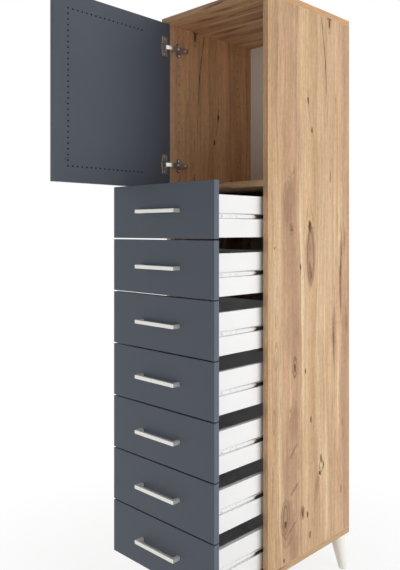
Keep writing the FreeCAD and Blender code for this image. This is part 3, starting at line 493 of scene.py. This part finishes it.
# paper printed as rustic oak, pressed on chipboard with a silk-matt wood texture: the print gives knots,
# cracks and stripes of heartwood, the press a faint relief along the fibres; rear edges are raw chipboard
def oakDecor(name, patterns, design, fromRear=None, innerPaintedLight=(1, 1, 1), edgeLightAndShade=(1, 1, 1)):
    marks, rings, bulges, stains = design
    material, add, shader, mm = newMaterial(name, Specular_IOR_Level=0.3)
    outward = add("TexCoord").outputs["Normal"]
    across, along = boardPlane(add, mm, outward, patterns, fromRear)
    plane = add("CombineXYZ", (across, along))
    flow = grainFlow(add, across, plane, bulges)
    flowPlane = add("CombineXYZ", (flow, along))

    # each pattern of the grain lightens and darkens the print
    grains, shade = {}, 1.0
    for key, (wide, long, detail, roughness, *levels) in oak["grains"].items():
        surface = plane if key in oak["straight"] else flowPlane
        grains[key] = lumps(add, surface, (wide, long, 1), detail, roughness)
        tone = add("MapRange", (grains[key], *levels))
        shade = add("Math", (shade, tone), "MULTIPLY")
    shade = add("CombineXYZ", [add("Math", (shade, power), "POWER") for power in oak["redness"]])

    # base tone and heartwood, read across the board with feathered edges
    feather = add("MapRange", (grains["lines"], 0.3, 0.7, -oak["feather"], oak["feather"]))
    feathered = add("Math", (flow, 1 / oak["width"], feather), "MULTIPLY_ADD")
    colour = setRamp(add("ValToRGB", (feathered,)), [(p, hexToLinear(c)) for p, c in oak["base"]])
    stripes = setRamp(add("ValToRGB", (feathered,)), [(p, (v, v, v, 1)) for p, v in oak["heart"]])
    patches = add("MapRange", (grains["clouds"], *oak["patches"]))
    shares = [add("Math", (stripes, patches), "MULTIPLY"), 0.0]  # of heartwood and of pale wood
    fray = zip(("lines", "fibres"), oak["fray"])
    fray = [add("MapRange", (grains[key], 0.3, 0.7, -reach, reach)) for key, reach in fray]
    frayed = add("VectorMath", (flowPlane, add("CombineXYZ", fray)), "ADD")
    reach = oak["stainReach"]
    for a, z, halfWidth, halfLength, share in stains:
        hill = ellipse(add, frayed, (a, z), (halfWidth * reach, halfLength * reach))[1]
        stain = add("MapRange", (hill, 0.0, 0.5, 0.0, abs(share)), **smooth)
        pale = share < 0
        shares[pale] = add("Math", (shares[pale], stain), "MAXIMUM")
    for share, key in zip(shares, ("heartColour", "paleColour")):
        colour = add("Mix", {0: share, 6: colour, 7: hexToLinear(oak[key])}, data_type="RGBA")
    colour = add("VectorMath", (colour, shade), "MULTIPLY")

    # inner faces are painted lighter, a painted light against the shade inside the cabinet, and front edges
    # get painted light and shade of their own: lighter on the shelf, the bottom and the right side, darker on
    # the top
    right, back, up = add("SeparateXYZ", (outward,)).outputs
    inside = add("Math", (right, 0.5), "GREATER_THAN")
    below = add("Math", (up, -0.5), "LESS_THAN")
    inner = add("Math", (inside, below), "MAXIMUM")
    front = add("Math", (back, -0.5), "LESS_THAN")
    for share, factor in ((inner, innerPaintedLight), (front, edgeLightAndShade)):
        relitColour = add("VectorMath", (colour, factor), "MULTIPLY")
        colour = add("Mix", {0: share, 6: colour, 7: relitColour}, data_type="RGBA")

    worn = add("MapRange", (grains["fibres"], *oak["worn"]))
    spots = add("Math", (knotShare(add, plane, marks, rings), worn), "MULTIPLY")
    colour = add("Mix", {0: spots, 6: colour, 7: hexToLinear(oak["knotColour"])}, data_type="RGBA")

    chips = add("TexVoronoi", {"Vector": mm, "Scale": 1 / rawBoard["chipSize"]}).outputs["Color"]
    chips = add("SeparateColor", (chips,))
    glue, chip = [hexToLinear(rawBoard[key]) for key in ("glue", "chip")]
    raw = add("Mix", {0: chips, 6: glue, 7: chip}, data_type="RGBA")
    rear = add("Math", (back, 0.5), "GREATER_THAN")
    colour = add("Mix", {0: rear, 6: colour, 7: raw}, data_type="RGBA")
    rough = add("MapRange", (grains["pores"], *oak["gloss"]))
    pressed, high, strength = oak["relief"]
    relief = add("Math", (grains["pores"], pressed, grains["fibres"]), "MULTIPLY_ADD")
    bump = add("Bump", {"Height": relief, "Distance": high / 1000, "Strength": strength})
    setInputs(shader, {"Base Color": colour, "Roughness": rough, "Normal": bump})
    return material


# which coordinate runs across the grain, and which along it, on faces that look along x, y and z
upright, flat = ("YxY", "ZZX"), ("zzY", "YXX")
knotty = (oak["marks"], oak["rings"], oak["bulges"], oak["stains"])
plain = (oak["cracks"], (), (), oak["streaks"])
# the left side's inner face and the top's underside are painted lighter against their shade, and the boards'
# front edges carry painted light and shade
paint(oakDecor("oak decor paper right side", upright, knotty, edgeLightAndShade=(1.1, 1.02, 1.02)), "right_side_panel")
leftSide = oakDecor("oak decor paper left side", upright, knotty, fromRear=416.0, innerPaintedLight=(1.42, 1.33, 1.23))
paint(leftSide, "left_side_panel")
topFace = oakDecor("oak decor paper top", flat, plain, innerPaintedLight=(1.15, 1.06, 1.0), edgeLightAndShade=(0.8, 0.72, 0.68))
paint(topFace, "top_panel")
paint(oakDecor("oak decor paper across", flat, plain, edgeLightAndShade=(1.45, 1.36, 1.28)), "bottom_panel", "fixed_shelf")
print("oak boards finished")

slate = {
    "colour": "#555b65",
    "edgeLightColour": "#636a75",  # the edges are painted a shade lighter: painted light for the light they catch from the side
    "roughness": 0.5,
    "pearlSize": 1.2,  # mm, the press plate's pearl texture, coarser than real to show
}
dots = {  # the door's row of drilled dots: up its free side and along both ends
    # the dots' colour is painted shade, filling each hole and a ring round it out to the rim's radius
    "pitch": 16.0, "rim": 2.6, "colour": "#060607",
    "depth": (-201.0, 8.9),  # x midway between the door's faces, and how far to both sides the dots reach
    "corner": (-402.5, 1529.85),  # y of the upright row, and z of its middle
    "half": 224.0, "across": 17,  # half the upright row's height, and how many pitches the others are long
}
white = {"colour": "#f6f6f5", "roughness": 0.42, "pearlSize": 1.4}
hardboard = {"colour": "#e8e3da", "roughness": 0.65, "pearlSize": 5.0}
hinge = {"pivot": (-210.5, -20.0), "turn": 1.7}  # the door stands this many degrees short of a right angle


# melamine paper pressed on chipboard with a fine pearl texture: even colour, a soft broken gloss
def melamine(name, colour, roughness, pearlSize):
    material, add, shader, mm = newMaterial(name, Specular_IOR_Level=0.25)
    pearl = lumps(add, mm, [pearlSize] * 3)
    clouds = add("MapRange", (lumps(add, mm, [160.0] * 3, 1.0), 0.0, 1.0, 0.97, 1.03))
    flecks = add("MapRange", (pearl, 0.3, 0.7, 0.97, 1.03))
    shade = add("Math", (clouds, flecks), "MULTIPLY")
    base = coat(add, shader, colour, shade, pearl, (roughness - 0.05, roughness + 0.05), 0.05, 0.4)
    return material, add, shader, mm, base


board = (slate["colour"], slate["roughness"], slate["pearlSize"])
slateMelamine, add, shader, mm, base = melamine("slate melamine with painted light on its edges", *board)
# faces that don't look forwards or back take the lighter edge colour, a painted light
facing = add("SeparateXYZ", (add("TexCoord").outputs["Normal"],)).outputs[1]
facing = add("Math", (facing,), "ABSOLUTE")
face = add("Math", (facing, 0.5), "GREATER_THAN")
edgeLit = add("Mix", {0: face, 6: hexToLinear(slate["edgeLightColour"]), 7: base}, data_type="RGBA")
setInputs(shader, {"Base Color": edgeLit})
paint(slateMelamine, *[f"drawer_{k}_front" for k in drawers])

# the door's board is the same, and its small blind holes are painted near-black inside and in a ring round
# their rims, a painted shade; its place is turned square, and a lattice of dots a pitch apart is kept only
# near the three rows
doorMelamine, add, shader, mm, base = melamine("slate melamine with painted shade in its drilled dots", *board)
pivot, turn = (*hinge["pivot"], 0), (0, 0, math.radians(hinge["turn"]))
square = add("Mapping", {"Vector": mm, "Location": pivot, "Rotation": turn}, vector_type="TEXTURE")
square = add("VectorMath", (square, pivot), "ADD")
fromCorner = add("VectorMath", (square, (0, *dots["corner"])), "SUBTRACT")
half = dots["pitch"] / 2
nearest = add("VectorMath", (fromCorner, (0, half, half), (0, -half, -half)), "WRAP")
nearest = add("VectorMath", (nearest, (0, 1, 1)), "MULTIPLY")
nearest = add("VectorMath", (nearest,), "LENGTH")
through, inward, height = add("SeparateXYZ", (fromCorner,)).outputs
height = add("Math", (height,), "ABSOLUTE")
onColumn = add("Math", (inward, 0.0, half), "COMPARE")
onRow = add("Math", (height, dots["half"], half), "COMPARE")
drilled = add("Math", (onColumn, onRow), "MAXIMUM")
reach = dots["across"] * half
for limits in ((through, *dots["depth"]), (inward, reach, reach + half), (height, 0.0, dots["half"] + half)):
    near = add("Math", limits, "COMPARE")
    drilled = add("Math", (near, drilled), "MULTIPLY")
inside = add("Math", (nearest, dots["rim"]), "LESS_THAN")
inside = add("Math", (inside, drilled), "MULTIPLY")
holeShade = add("Mix", {0: inside, 6: base, 7: hexToLinear(dots["colour"])}, data_type="RGBA")
setInputs(shader, {"Base Color": holeShade})
paint(doorMelamine, "door_panel")

whiteMelamine = melamine("white melamine", **white)[0]
paint(whiteMelamine, *[f"drawer_{k}_{part}" for k in drawers for part in ("sides", "back", "bottom")])
paint(melamine("painted hardboard", **hardboard)[0], "back_panel")
print("melamine boards finished")

metals = {  # brush: the lines' width and length in mm
    "satinNickel": {"colour": "#f6f3ec", "roughness": 0.36, "metallic": 0.4, "brush": (0.35, 40.0)},
    "hingeNickel": {"colour": "#bcb8b2", "roughness": 0.16, "metallic": 0.7, "brush": (0.8, 3.0)},
    "linkZinc": {"colour": "#f0f0f0", "roughness": 0.28, "metallic": 0.85, "brush": (1.2, 2.0)},
    "zincSteel": {"colour": "#f6f7f7", "roughness": 0.25, "brush": (1.5, 60.0)},
}


# plated metal: fine lines along one axis soften the mirror and vary it a little, and a lower metallic share
# gives the milky look of a satin plating under lacquer
def platedSteel(name, axis, colour, roughness, brush, metallic=1.0):
    material, add, shader, mm = newMaterial(name, Metallic=metallic)
    size = [brush[0]] * 3
    size[axis] = brush[1]
    lines = lumps(add, mm, size)
    shade = add("MapRange", (lines, 0.3, 0.7, 0.95, 1.03))
    coat(add, shader, colour, shade, lines, (roughness * 0.8, roughness * 1.25), 0.01, 0.3)
    return material


satinNickel = platedSteel("satin nickel plated zinc", 0, **metals["satinNickel"])
satinNickelUpright = platedSteel("satin nickel plated zinc upright", 2, **metals["satinNickel"])
linkZinc = platedSteel("tumbled die-cast zinc", 1, **metals["linkZinc"])
hingeNickel = platedSteel("nickel plated pressed steel", 1, **metals["hingeNickel"])
zincSteel = platedSteel("zinc plated rolled steel", 1, **metals["zincSteel"])

towardX = ((0, 1, 0), (0, 0, 1))  # a shape's x and y lie along these, so that its z stands along x
towardY = ((0, 0, 1), (1, 0, 0))
drawer = {"lowest": 138.0, "pitch": 160.3, "front": -216.0, "back": -198.0, "handleUp": 78.15, "railUp": 62.0}


# height of a drawer's lower edge: drawer 7 is the lowest
def drawerLevel(k):
    return drawer["lowest"] + (7 - k) * drawer["pitch"]


handle = {
    "halfLength": 84.25, "rise": 26.0, "post": 11.2, "bar": 9.0, "high": 11.0,
    "outerRound": 2.5, "innerRound": 4.0, "edgeRound": 1.7, "screwAt": 80.0, "screwHead": (7.6, 2.2),
}


# half a handle's outline from its foot, round the bend to the bar, and the same mirrored
def handlePath(foot, top, bend):
    corner = arc((foot + bend, top - bend), bend, 180, 90, 10)
    path = np.concatenate([[(foot, 0)], corner, [(-handle["halfLength"] / 3, top)]])
    return np.concatenate([path, path[::-1] * [-1, 1]])


# a handle from one bar: its sections are round-edged rectangles, stretched between its inner and outer path
def handleBar():
    foot, rise, bar = -handle["halfLength"], handle["rise"], handle["bar"]
    outer = handlePath(foot, rise, handle["outerRound"])[:, None, :]
    inner = handlePath(foot + handle["post"], rise - bar, handle["innerRound"])[:, None, :]
    section = roundedRectangle(bar, handle["high"], handle["edgeRound"], 4)
    share = (section[:, 0] / bar + 0.5)[None, :, None]
    rings = inner * (1 - share) + outer * share
    return ringSolid(np.dstack([rings, np.broadcast_to(section[:, 1], rings.shape[:2])]))


for k in drawers:
    level = drawerLevel(k) + drawer["handleUp"]
    bar = placed(handleBar(), (0, drawer["front"], level), (1, 0, 0), (0, -1, 0))
    makePiece(f"bar_handle_{k}", [bar], satinNickel, f"drawer_{k}", "satin_nickel")
    feet = [(x, drawer["back"], level) for x in (-handle["screwAt"], handle["screwAt"])]
    screws = [placed(screwHead(*handle["screwHead"]), foot, *towardY) for foot in feet]
    makePiece(f"handle_screws_{k}", screws, zincSteel, f"drawer_{k}", "satin_nickel", f"drawer_{k}_handle")


# the door's pieces are laid out with the door at a right angle and then turned about the hinges' axis
def swung(shape):
    points, faces = shape
    turn = math.radians(hinge["turn"])
    spin = np.array([[math.cos(turn), math.sin(turn)], [-math.sin(turn), math.cos(turn)]])
    moved = points.copy()
    moved[:, :2] = (points[:, :2] - hinge["pivot"]) @ spin + hinge["pivot"]
    return moved, faces


door = {"outer": -210.5, "inner": -192.5, "handleAcross": -409.0, "handleMiddle": 1404.35}
cap = {
    "radii": (3.5, 3.8, 3.7, 3.2, 2.2, 0.8), "heights": (0, 0.5, 1.3, 1.9, 2.15, 2.2),
    "roughness": 0.45, "grain": 0.9,
}
bar = placed(handleBar(), (door["outer"], door["handleAcross"], door["handleMiddle"]), (0, 0, 1), (-1, 0, 0))
makePiece("door_bar_handle", [swung(bar)], satinNickelUpright, "door", "satin_nickel")
# moulded plastic caps in the board's colour cover the screws' heads
capPlastic = melamine("slate plastic caps", slate["colour"], cap["roughness"], cap["grain"])[0]
caps = []
for side in (-1, 1):
    at = (door["inner"], door["handleAcross"], door["handleMiddle"] + side * handle["screwAt"])
    caps.append(swung(placed(turned(cap["radii"], cap["heights"]), at, *towardX)))
makePiece("door_handle_caps", caps, capPlastic, "door", "slate_melamine", "door_handle")
print("handles made")

leg = {
    "colour": "#fbf6ed",
    "feet": ((205.0, 403.0), (205.0, -7.0)),
    "tops": ((191.0, 389.0), (191.0, 7.0)),
    "radii": (11.4, 12.5, 13.4, 14.0, 26.0, 25.7),
    "heights": (0.0, 0.3, 1.0, 2.0, 115.0, 115.5),
    "runs": (5.0, 5.0, 60.0),  # the paint's runs and its orange peel, mm
    "peel": 1 / 0.7,
}


# a splayed leg: circles whose centre and radius go evenly from the foot to the top
def taperedLeg(foot, top):
    angle = np.linspace(0, 2 * np.pi, 48, endpoint=False)
    shaft = np.linspace(*leg["heights"][3:5], 12)
    heights = np.concatenate([leg["heights"][:3], shaft, leg["heights"][5:]])
    radii = np.interp(heights, leg["heights"], leg["radii"])
    share = heights[:, None] / leg["heights"][-1]
    centres = np.array(foot) * (1 - share) + np.array(top) * share
    circle = np.stack([np.cos(angle), np.sin(angle)], axis=-1)
    rings = centres[:, None, :] + radii[:, None, None] * circle
    return ringSolid(np.dstack([rings, np.broadcast_to(heights[:, None], rings.shape[:2])]))


# turned beech sprayed with satin paint: an even off-white, faint runs down the leg and a light orange peel
legPaint, add, shader, mm = newMaterial("satin sprayed beech", Coat_Weight=0.6, Coat_Roughness=0.2)
shade = add("MapRange", (lumps(add, mm, leg["runs"]), 0.3, 0.7, 0.96, 1.02))
coat(add, shader, leg["colour"], shade, lumps(add, mm, [leg["peel"]] * 3, 1.0), (0.34, 0.46), 0.04, 0.4)
legs = [taperedLeg(foot, top) for foot, top in zip(leg["feet"], leg["tops"])]
legs += [mirrored(shape) for shape in legs]
makePiece("tapered_legs", legs, legPaint, "carcass", "painted_leg", "legs")
paint(zincSteel, "leg_plates", "leg_fasteners")

# turned beech dowels: pale, with short dark rays along the dowel
dowel = {"rays": (6.0, 0.9, 0.9), "tones": ((0.35, "#a97f55"), (0.5, "#d6b384"), (0.7, "#e3c698"))}
dowelBeech, add, shader, mm = newMaterial("turned beech", Roughness=0.55)
rays = add("ValToRGB", (lumps(add, mm, dowel["rays"], 3.0),))
setInputs(shader, {"Base Color": setRamp(rays, [(p, hexToLinear(c)) for p, c in dowel["tones"]])})
paint(dowelBeech, "carcass_dowels")
print("legs and fixings finished")

runner = {
    "web": 192.0, "lip": 199.0, "halfHigh": 7.7, "steel": 1.2, "corner": 1.4, "ends": (-195.0, 150.0),
    "screwsAt": (-162.0, 94.0), "screwHead": (7.0, 1.8), "rivetsAt": (-127.0, -104.0, 40.0),
    "groove": (2.6, 35.0, 0.9),  # the lips' ball groove: radius, half its angle, its middle's way out
}
channel = {
    "web": 202.0, "lip": 193.5, "halfHigh": 13.5, "corner": 2.2, "ends": (3.0, 348.0),
    "screwsAt": (37.0, 133.0, 261.0), "screwHead": (7.5, 2.0),
    "balls": (14.0, 88.0, 11), "ballAt": (197.2, 10.0), "ballRadius": 2.2,
    "cage": ((195.9, 200.0), (9.6, 8.9)),  # x of its edges, and how high it stands from the rail's middle
}
# tubular rivets: a low ring round a dimple
rivet = {"radii": (3.2, 3.2, 2.9, 2.3, 1.9, 1.7, 0.4), "heights": (0, 0.3, 0.6, 0.6, 0.4, 0.05, 0.05)}


# a rolled rail in section: up the lower lip, over its ball groove, up the web, and back by the upper lip
def railSection(rail):
    web, lip, corner, steel = rail["web"], rail["lip"], rail["corner"], runner["steel"]
    radius, spread, outside = runner["groove"]
    toward = 1 if lip > web else -1
    half = steel / 2
    inner = web + toward * half
    high = rail["halfHigh"] - half
    middle = ((lip + inner) / 2 + toward * corner / 2, -high - outside)
    lower = np.concatenate([
        [(lip - toward * half, -high + outside)],
        arc(middle, radius, 90 - toward * spread, 90 + toward * spread, 6),
        arc((inner + toward * corner, -high + corner), corner, 270, 270 - toward * 90, 5),
    ])
    return strip(np.concatenate([lower, lower[::-1] * [1, -1]]), steel)


# a low-poly ball: circles of radius r cos(height angle)
def ball(radius):
    tilt = np.radians([-80, -45, 0, 45, 80])
    return turned(radius * np.cos(tilt), radius * np.sin(tilt), 8)


face = runner["web"] + runner["steel"]
rail = carried(railSection(runner), *runner["ends"])
for k in drawers:
    level = drawerLevel(k) + drawer["railUp"]
    screws = [placed(screwHead(*runner["screwHead"]), (face, y, 0), *towardX) for y in runner["screwsAt"]]
    rails = [(points + [0, 0, level], faces) for points, faces in [rail] + screws]
    rails += [mirrored(shape) for shape in rails]
    makePiece(f"drawer_rails_{k}", rails, zincSteel, f"drawer_{k}", "zinc_steel", f"drawer_{k}_runners")
    head = turned(rivet["radii"], rivet["heights"])
    rivets = [placed(head, (face, y, level), *towardX) for y in runner["rivetsAt"]]
    rivets += [mirrored(shape) for shape in rivets]
    makePiece(f"rail_rivets_{k}", rivets, linkZinc, f"drawer_{k}", "zinc_steel")

# the moulded lever that frees the drawer from its rails: a black strip with a forked front, whose blackness
# and forked shape also copy the rail's shade where it runs into the carcass: part lever, part painted shade
lever = {
    "front": -29.0, "notch": -17.0, "rear": 24.0, "halfWidth": 6.4, "tip": 0.8, "heel": 2.0, "thick": 2.6,
    "ease": 0.5, "grain": 1 / 0.8, "tones": ((0.3, "#0d0d0e"), (0.7, "#161617")),
}
# its near-black tones are partly painted shade of the rail's end by the carcass
leverAndShade, add, shader, mm = newMaterial("black moulded polyamide and painted shade", Roughness=0.45)
mould = lumps(add, mm, [lever["grain"]] * 3)
tone = setRamp(add("ValToRGB", (mould,)), [(p, hexToLinear(c)) for p, c in lever["tones"]])
bump = add("Bump", {"Height": mould, "Distance": 0.00005, "Strength": 0.4})
setInputs(shader, {"Base Color": tone, "Normal": bump})
half, tip, heel = lever["halfWidth"], lever["tip"], lever["heel"]
fork = np.concatenate([
    arc((lever["front"] + tip, half - tip), tip, 90, 250, 5), [(lever["notch"], 0)],
    arc((lever["front"] + tip, tip - half), tip, 110, 270, 5),
    arc((lever["rear"] - heel, heel - half), heel, 270, 360, 4),
    arc((lever["rear"] - heel, half - heel), heel, 0, 90, 4),
])

for k in drawers:
    level = drawerLevel(k) + drawer["railUp"]
    shape = placed(slab(fork, 0, lever["thick"], lever["ease"]), (face, 0, level), *towardX)
    makePiece(f"release_levers_and_shade_{k}", [shape, mirrored(shape)], leverAndShade, f"drawer_{k}", "zinc_steel")

# a cabinet rail with its screws, and above and below its middle a cage of balls
cabinetRail = [carried(railSection(channel), *channel["ends"])]
first, last, count = channel["balls"]
(left, right), (high, low) = channel["cage"]
for side in (-1, 1):
    outline = np.array([(left, side * high), (right, side * high), (right, side * low), (left, side * low)])
    cabinetRail.append(carried(outline, first - 3, last + 3))
    for y in np.linspace(first, last, count):
        points, faces = ball(channel["ballRadius"])
        cabinetRail.append((points + [channel["ballAt"][0], y, side * channel["ballAt"][1]], faces))
for y in channel["screwsAt"]:
    at = (channel["web"] - runner["steel"], y, 0)
    cabinetRail.append(placed(screwHead(*channel["screwHead"]), at, (0, 1, 0), (0, 0, -1)))
for side, name in ((1, "right"), (-1, "left")):
    shapes = []
    for k in drawers:
        level = drawerLevel(k) + drawer["railUp"]
        shapes += [(points * [side, 1, 1] + [0, 0, level], faces) for points, faces in cabinetRail]
    makePiece(f"cabinet_rails_{name}", shapes, zincSteel, "carcass", "zinc_steel", f"{name}_cabinet_runners")
print("runners made")

cup = {
    "along": -34.5, "levels": (1337.85, 1721.85), "wing": (23.0, 64.0), "bore": 17.5, "thick": 1.2,
    "dish": (27.4, 20.0), "opening": (30.4, 22.0), "rim": 0.9,  # width and height; least width round it
    "slot": (7.6, 3.4),  # half height of the link's way through the rim, and its depth
    "screwsAt": 24.0, "screwHead": (7.6, 1.5), "columns": 144,
}
around = np.linspace(0, 2 * np.pi, cup["columns"], endpoint=False)  # the cup's angles


# radius to a round-cornered rectangle at each angle: the twelfth-power mean of the nearest sides' distances
def cornerRadius(width, height):
    across, upward = np.abs(np.cos(around)) * 2 / width, np.abs(np.sin(around)) * 2 / height
    return (across ** 12 + upward ** 12) ** (-1 / 12)


# how far a rim drops at each angle to let the link through: its full depth in the slot, then a short slope
def slotDrop(radius):
    halfHigh, depth = cup["slot"]
    beside = np.abs(np.sin(around)) * radius
    return depth * np.clip(halfHigh + 1 - beside, 0, 1) * (np.cos(around) > 0)


# a hinge cup: its plate is a rectangle that widens round the dish; each ring's radii are read from those
# outlines, and the rings run from under the dish, round the plate's edge, to the dish's floor
def hingeCup():
    dish = cornerRadius(*cup["dish"])
    plate = np.maximum(cornerRadius(*cup["wing"]), dish + cup["rim"])
    thick, drop = cup["thick"], slotDrop(dish)
    eased = np.maximum(plate - 0.7, dish + 0.6)
    outer = [1, dish * 0.9, dish, dish + 0.6, plate - 0.3, plate, plate - 0.1, eased]
    inner = [dish + 0.5, dish, dish - 0.3, dish * 0.94, 1]
    rims = [h - drop for h in (-0.2, 0, 0.3, 0.9, thick, thick, thick - 0.4, -2)]
    return turned(outer + inner, [-11.4, -11.4, -10.6, *rims, -10.2, -10.4], cup["columns"])


# the collar round the cup closes its bore: a flat ring, open where the dish and the link pass
def cupCollar():
    bore = cup["bore"]
    opening = np.minimum(cornerRadius(*cup["opening"]), bore - 1.2)
    drop = slotDrop(opening) / 2
    outer = [1, opening, bore - 0.6, bore - 0.2, bore + 0.7, bore + 0.4]
    inner = [opening + 0.4, opening, opening - 0.2, 1]
    rims = [0.3 - drop, 0.3 - drop, -drop]
    return turned(outer + inner, [-11.45, -11.45, -11.2, 0, 0, *rims, -11.3, -11.3], cup["columns"])


cups, collars = [], []
for level in cup["levels"]:
    at = (door["inner"], cup["along"], level)
    cups.append(swung(placed(hingeCup(), at, *towardX)))
    collars.append(swung(placed(cupCollar(), at, *towardX)))
    for side in (-1, 1):
        at = (door["inner"] + cup["thick"], cup["along"], level + side * cup["screwsAt"])
        cups.append(swung(placed(screwHead(*cup["screwHead"]), at, *towardX)))
makePiece("hinge_cup_plates", cups, hingeNickel, "door", "hinge_nickel", "hinge_cups")
makePiece("hinge_cup_collars", collars, capPlastic, "door", "hinge_nickel")

link = {
    "pin": (-186.6, -7.8), "pinRound": 2.9, "toe": (-192.6, -25.2), "toeRound": 1.6,
    "halfHigh": 6.5, "ease": 0.8,
}
arm = {
    "web": -185.2, "steel": 1.2, "ends": (-4.0, 62.0), "halfHigh": 8.0, "corner": 1.5, "nose": 3.2,
    "cheek": (-187.6, -195.5), "cheekRound": 3.0, "heel": 8.0, "throat": (2.0, -190.5),
    "screwsAt": (20.0, 51.0), "screwHead": (7.0, 2.2),
}
pin = {"radii": (1.1, 1.5, 1.5, 1.1), "heights": (-8.6, -8.2, 8.2, 8.6)}
plate = {  # wing and block: ends, half height, corner radius and steps, thickness, eased rims
    "wing": ((22.0, 44.0), 23.5, (9.0, 8), 2.0, 0.6), "block": ((14.0, 59.0), 5.5, (1.5, 5), 16.6, 0.8),
    "face": -202.0, "screwAt": (-200.0, 37.0), "screwSide": 16.0, "screwHead": (8.0, 1.8),
}


# the link: a wedge whose sides touch a round about its pin and a smaller one at its toe in the cup
def hingeLink():
    (px, py), (tx, ty) = link["pin"], link["toe"]
    lean = math.degrees(math.atan2(tx - px, py - ty))
    about = arc(link["pin"], link["pinRound"], lean - 4, lean + 184, 10)
    toe = arc(link["toe"], link["toeRound"], lean + 184, lean + 356, 6)
    return slab(np.concatenate([about, toe]), -link["halfHigh"], link["halfHigh"], link["ease"])


# the arm: a web and two cheeks, each with a round nose about the pin
def hingeArm():
    (start, end), high, steel, r = arm["ends"], arm["halfHigh"], arm["steel"], arm["cheekRound"]
    web = slab(roundedRectangle(end - start, high * 2, arm["corner"]), 0, steel, 0.4)
    shapes = [placed(web, (arm["web"], (start + end) / 2, 0), *towardX)]
    top, foot = arm["cheek"]
    side = np.concatenate([
        arc(link["pin"][::-1], arm["nose"], 200, 90, 8), arc((end - r, top), r, 90, 0, 5),
        arc((end - r, foot), r, 0, -90, 5), arc((arm["heel"], foot), r, -90, -180, 5), [arm["throat"]],
    ])[::-1]
    for low in (-high, high - steel):
        points, faces = slab(side, low, low + steel, 0.3)
        shapes.append((points[:, [1, 0, 2]], faces))
    points, faces = turned(pin["radii"], pin["heights"], 24)
    return shapes + [(points + [*link["pin"], 0], faces)]


# the mounting plate: wings screwed to the side, and the block that carries the arm
def mountingPlate():
    shapes = []
    for (start, end), halfHigh, corner, thick, ease in (plate["wing"], plate["block"]):
        shape = slab(roundedRectangle(end - start, halfHigh * 2, *corner), 0, thick, ease)
        shapes.append(placed(shape, (plate["face"], (start + end) / 2, 0), *towardX))
    return shapes


armScrews = [((arm["web"] + arm["steel"], y, 0), arm["screwHead"]) for y in arm["screwsAt"]]
plateScrews = [((*plate["screwAt"], side * plate["screwSide"]), plate["screwHead"]) for side in (-1, 1)]
hingeScrews = [placed(screwHead(*size), at, *towardX) for at, size in armScrews + plateScrews]
for name, shapes, material, body, *standsFor in (
    ("hinge_link_bars", [hingeLink()], linkZinc, "hinge_links", "hinge_links"),
    ("hinge_arm_channels", hingeArm(), hingeNickel, "carcass", "hinge_arms"),
    ("hinge_screws", hingeScrews, linkZinc, "carcass"),
    ("hinge_plates", mountingPlate(), hingeNickel, "carcass", "hinge_mounting_plates"),
):
    both = [(points + [0, 0, level], faces) for level in cup["levels"] for points, faces in shapes]
    makePiece(name, both, material, body, "hinge_nickel", *standsFor)
print("hinges made")
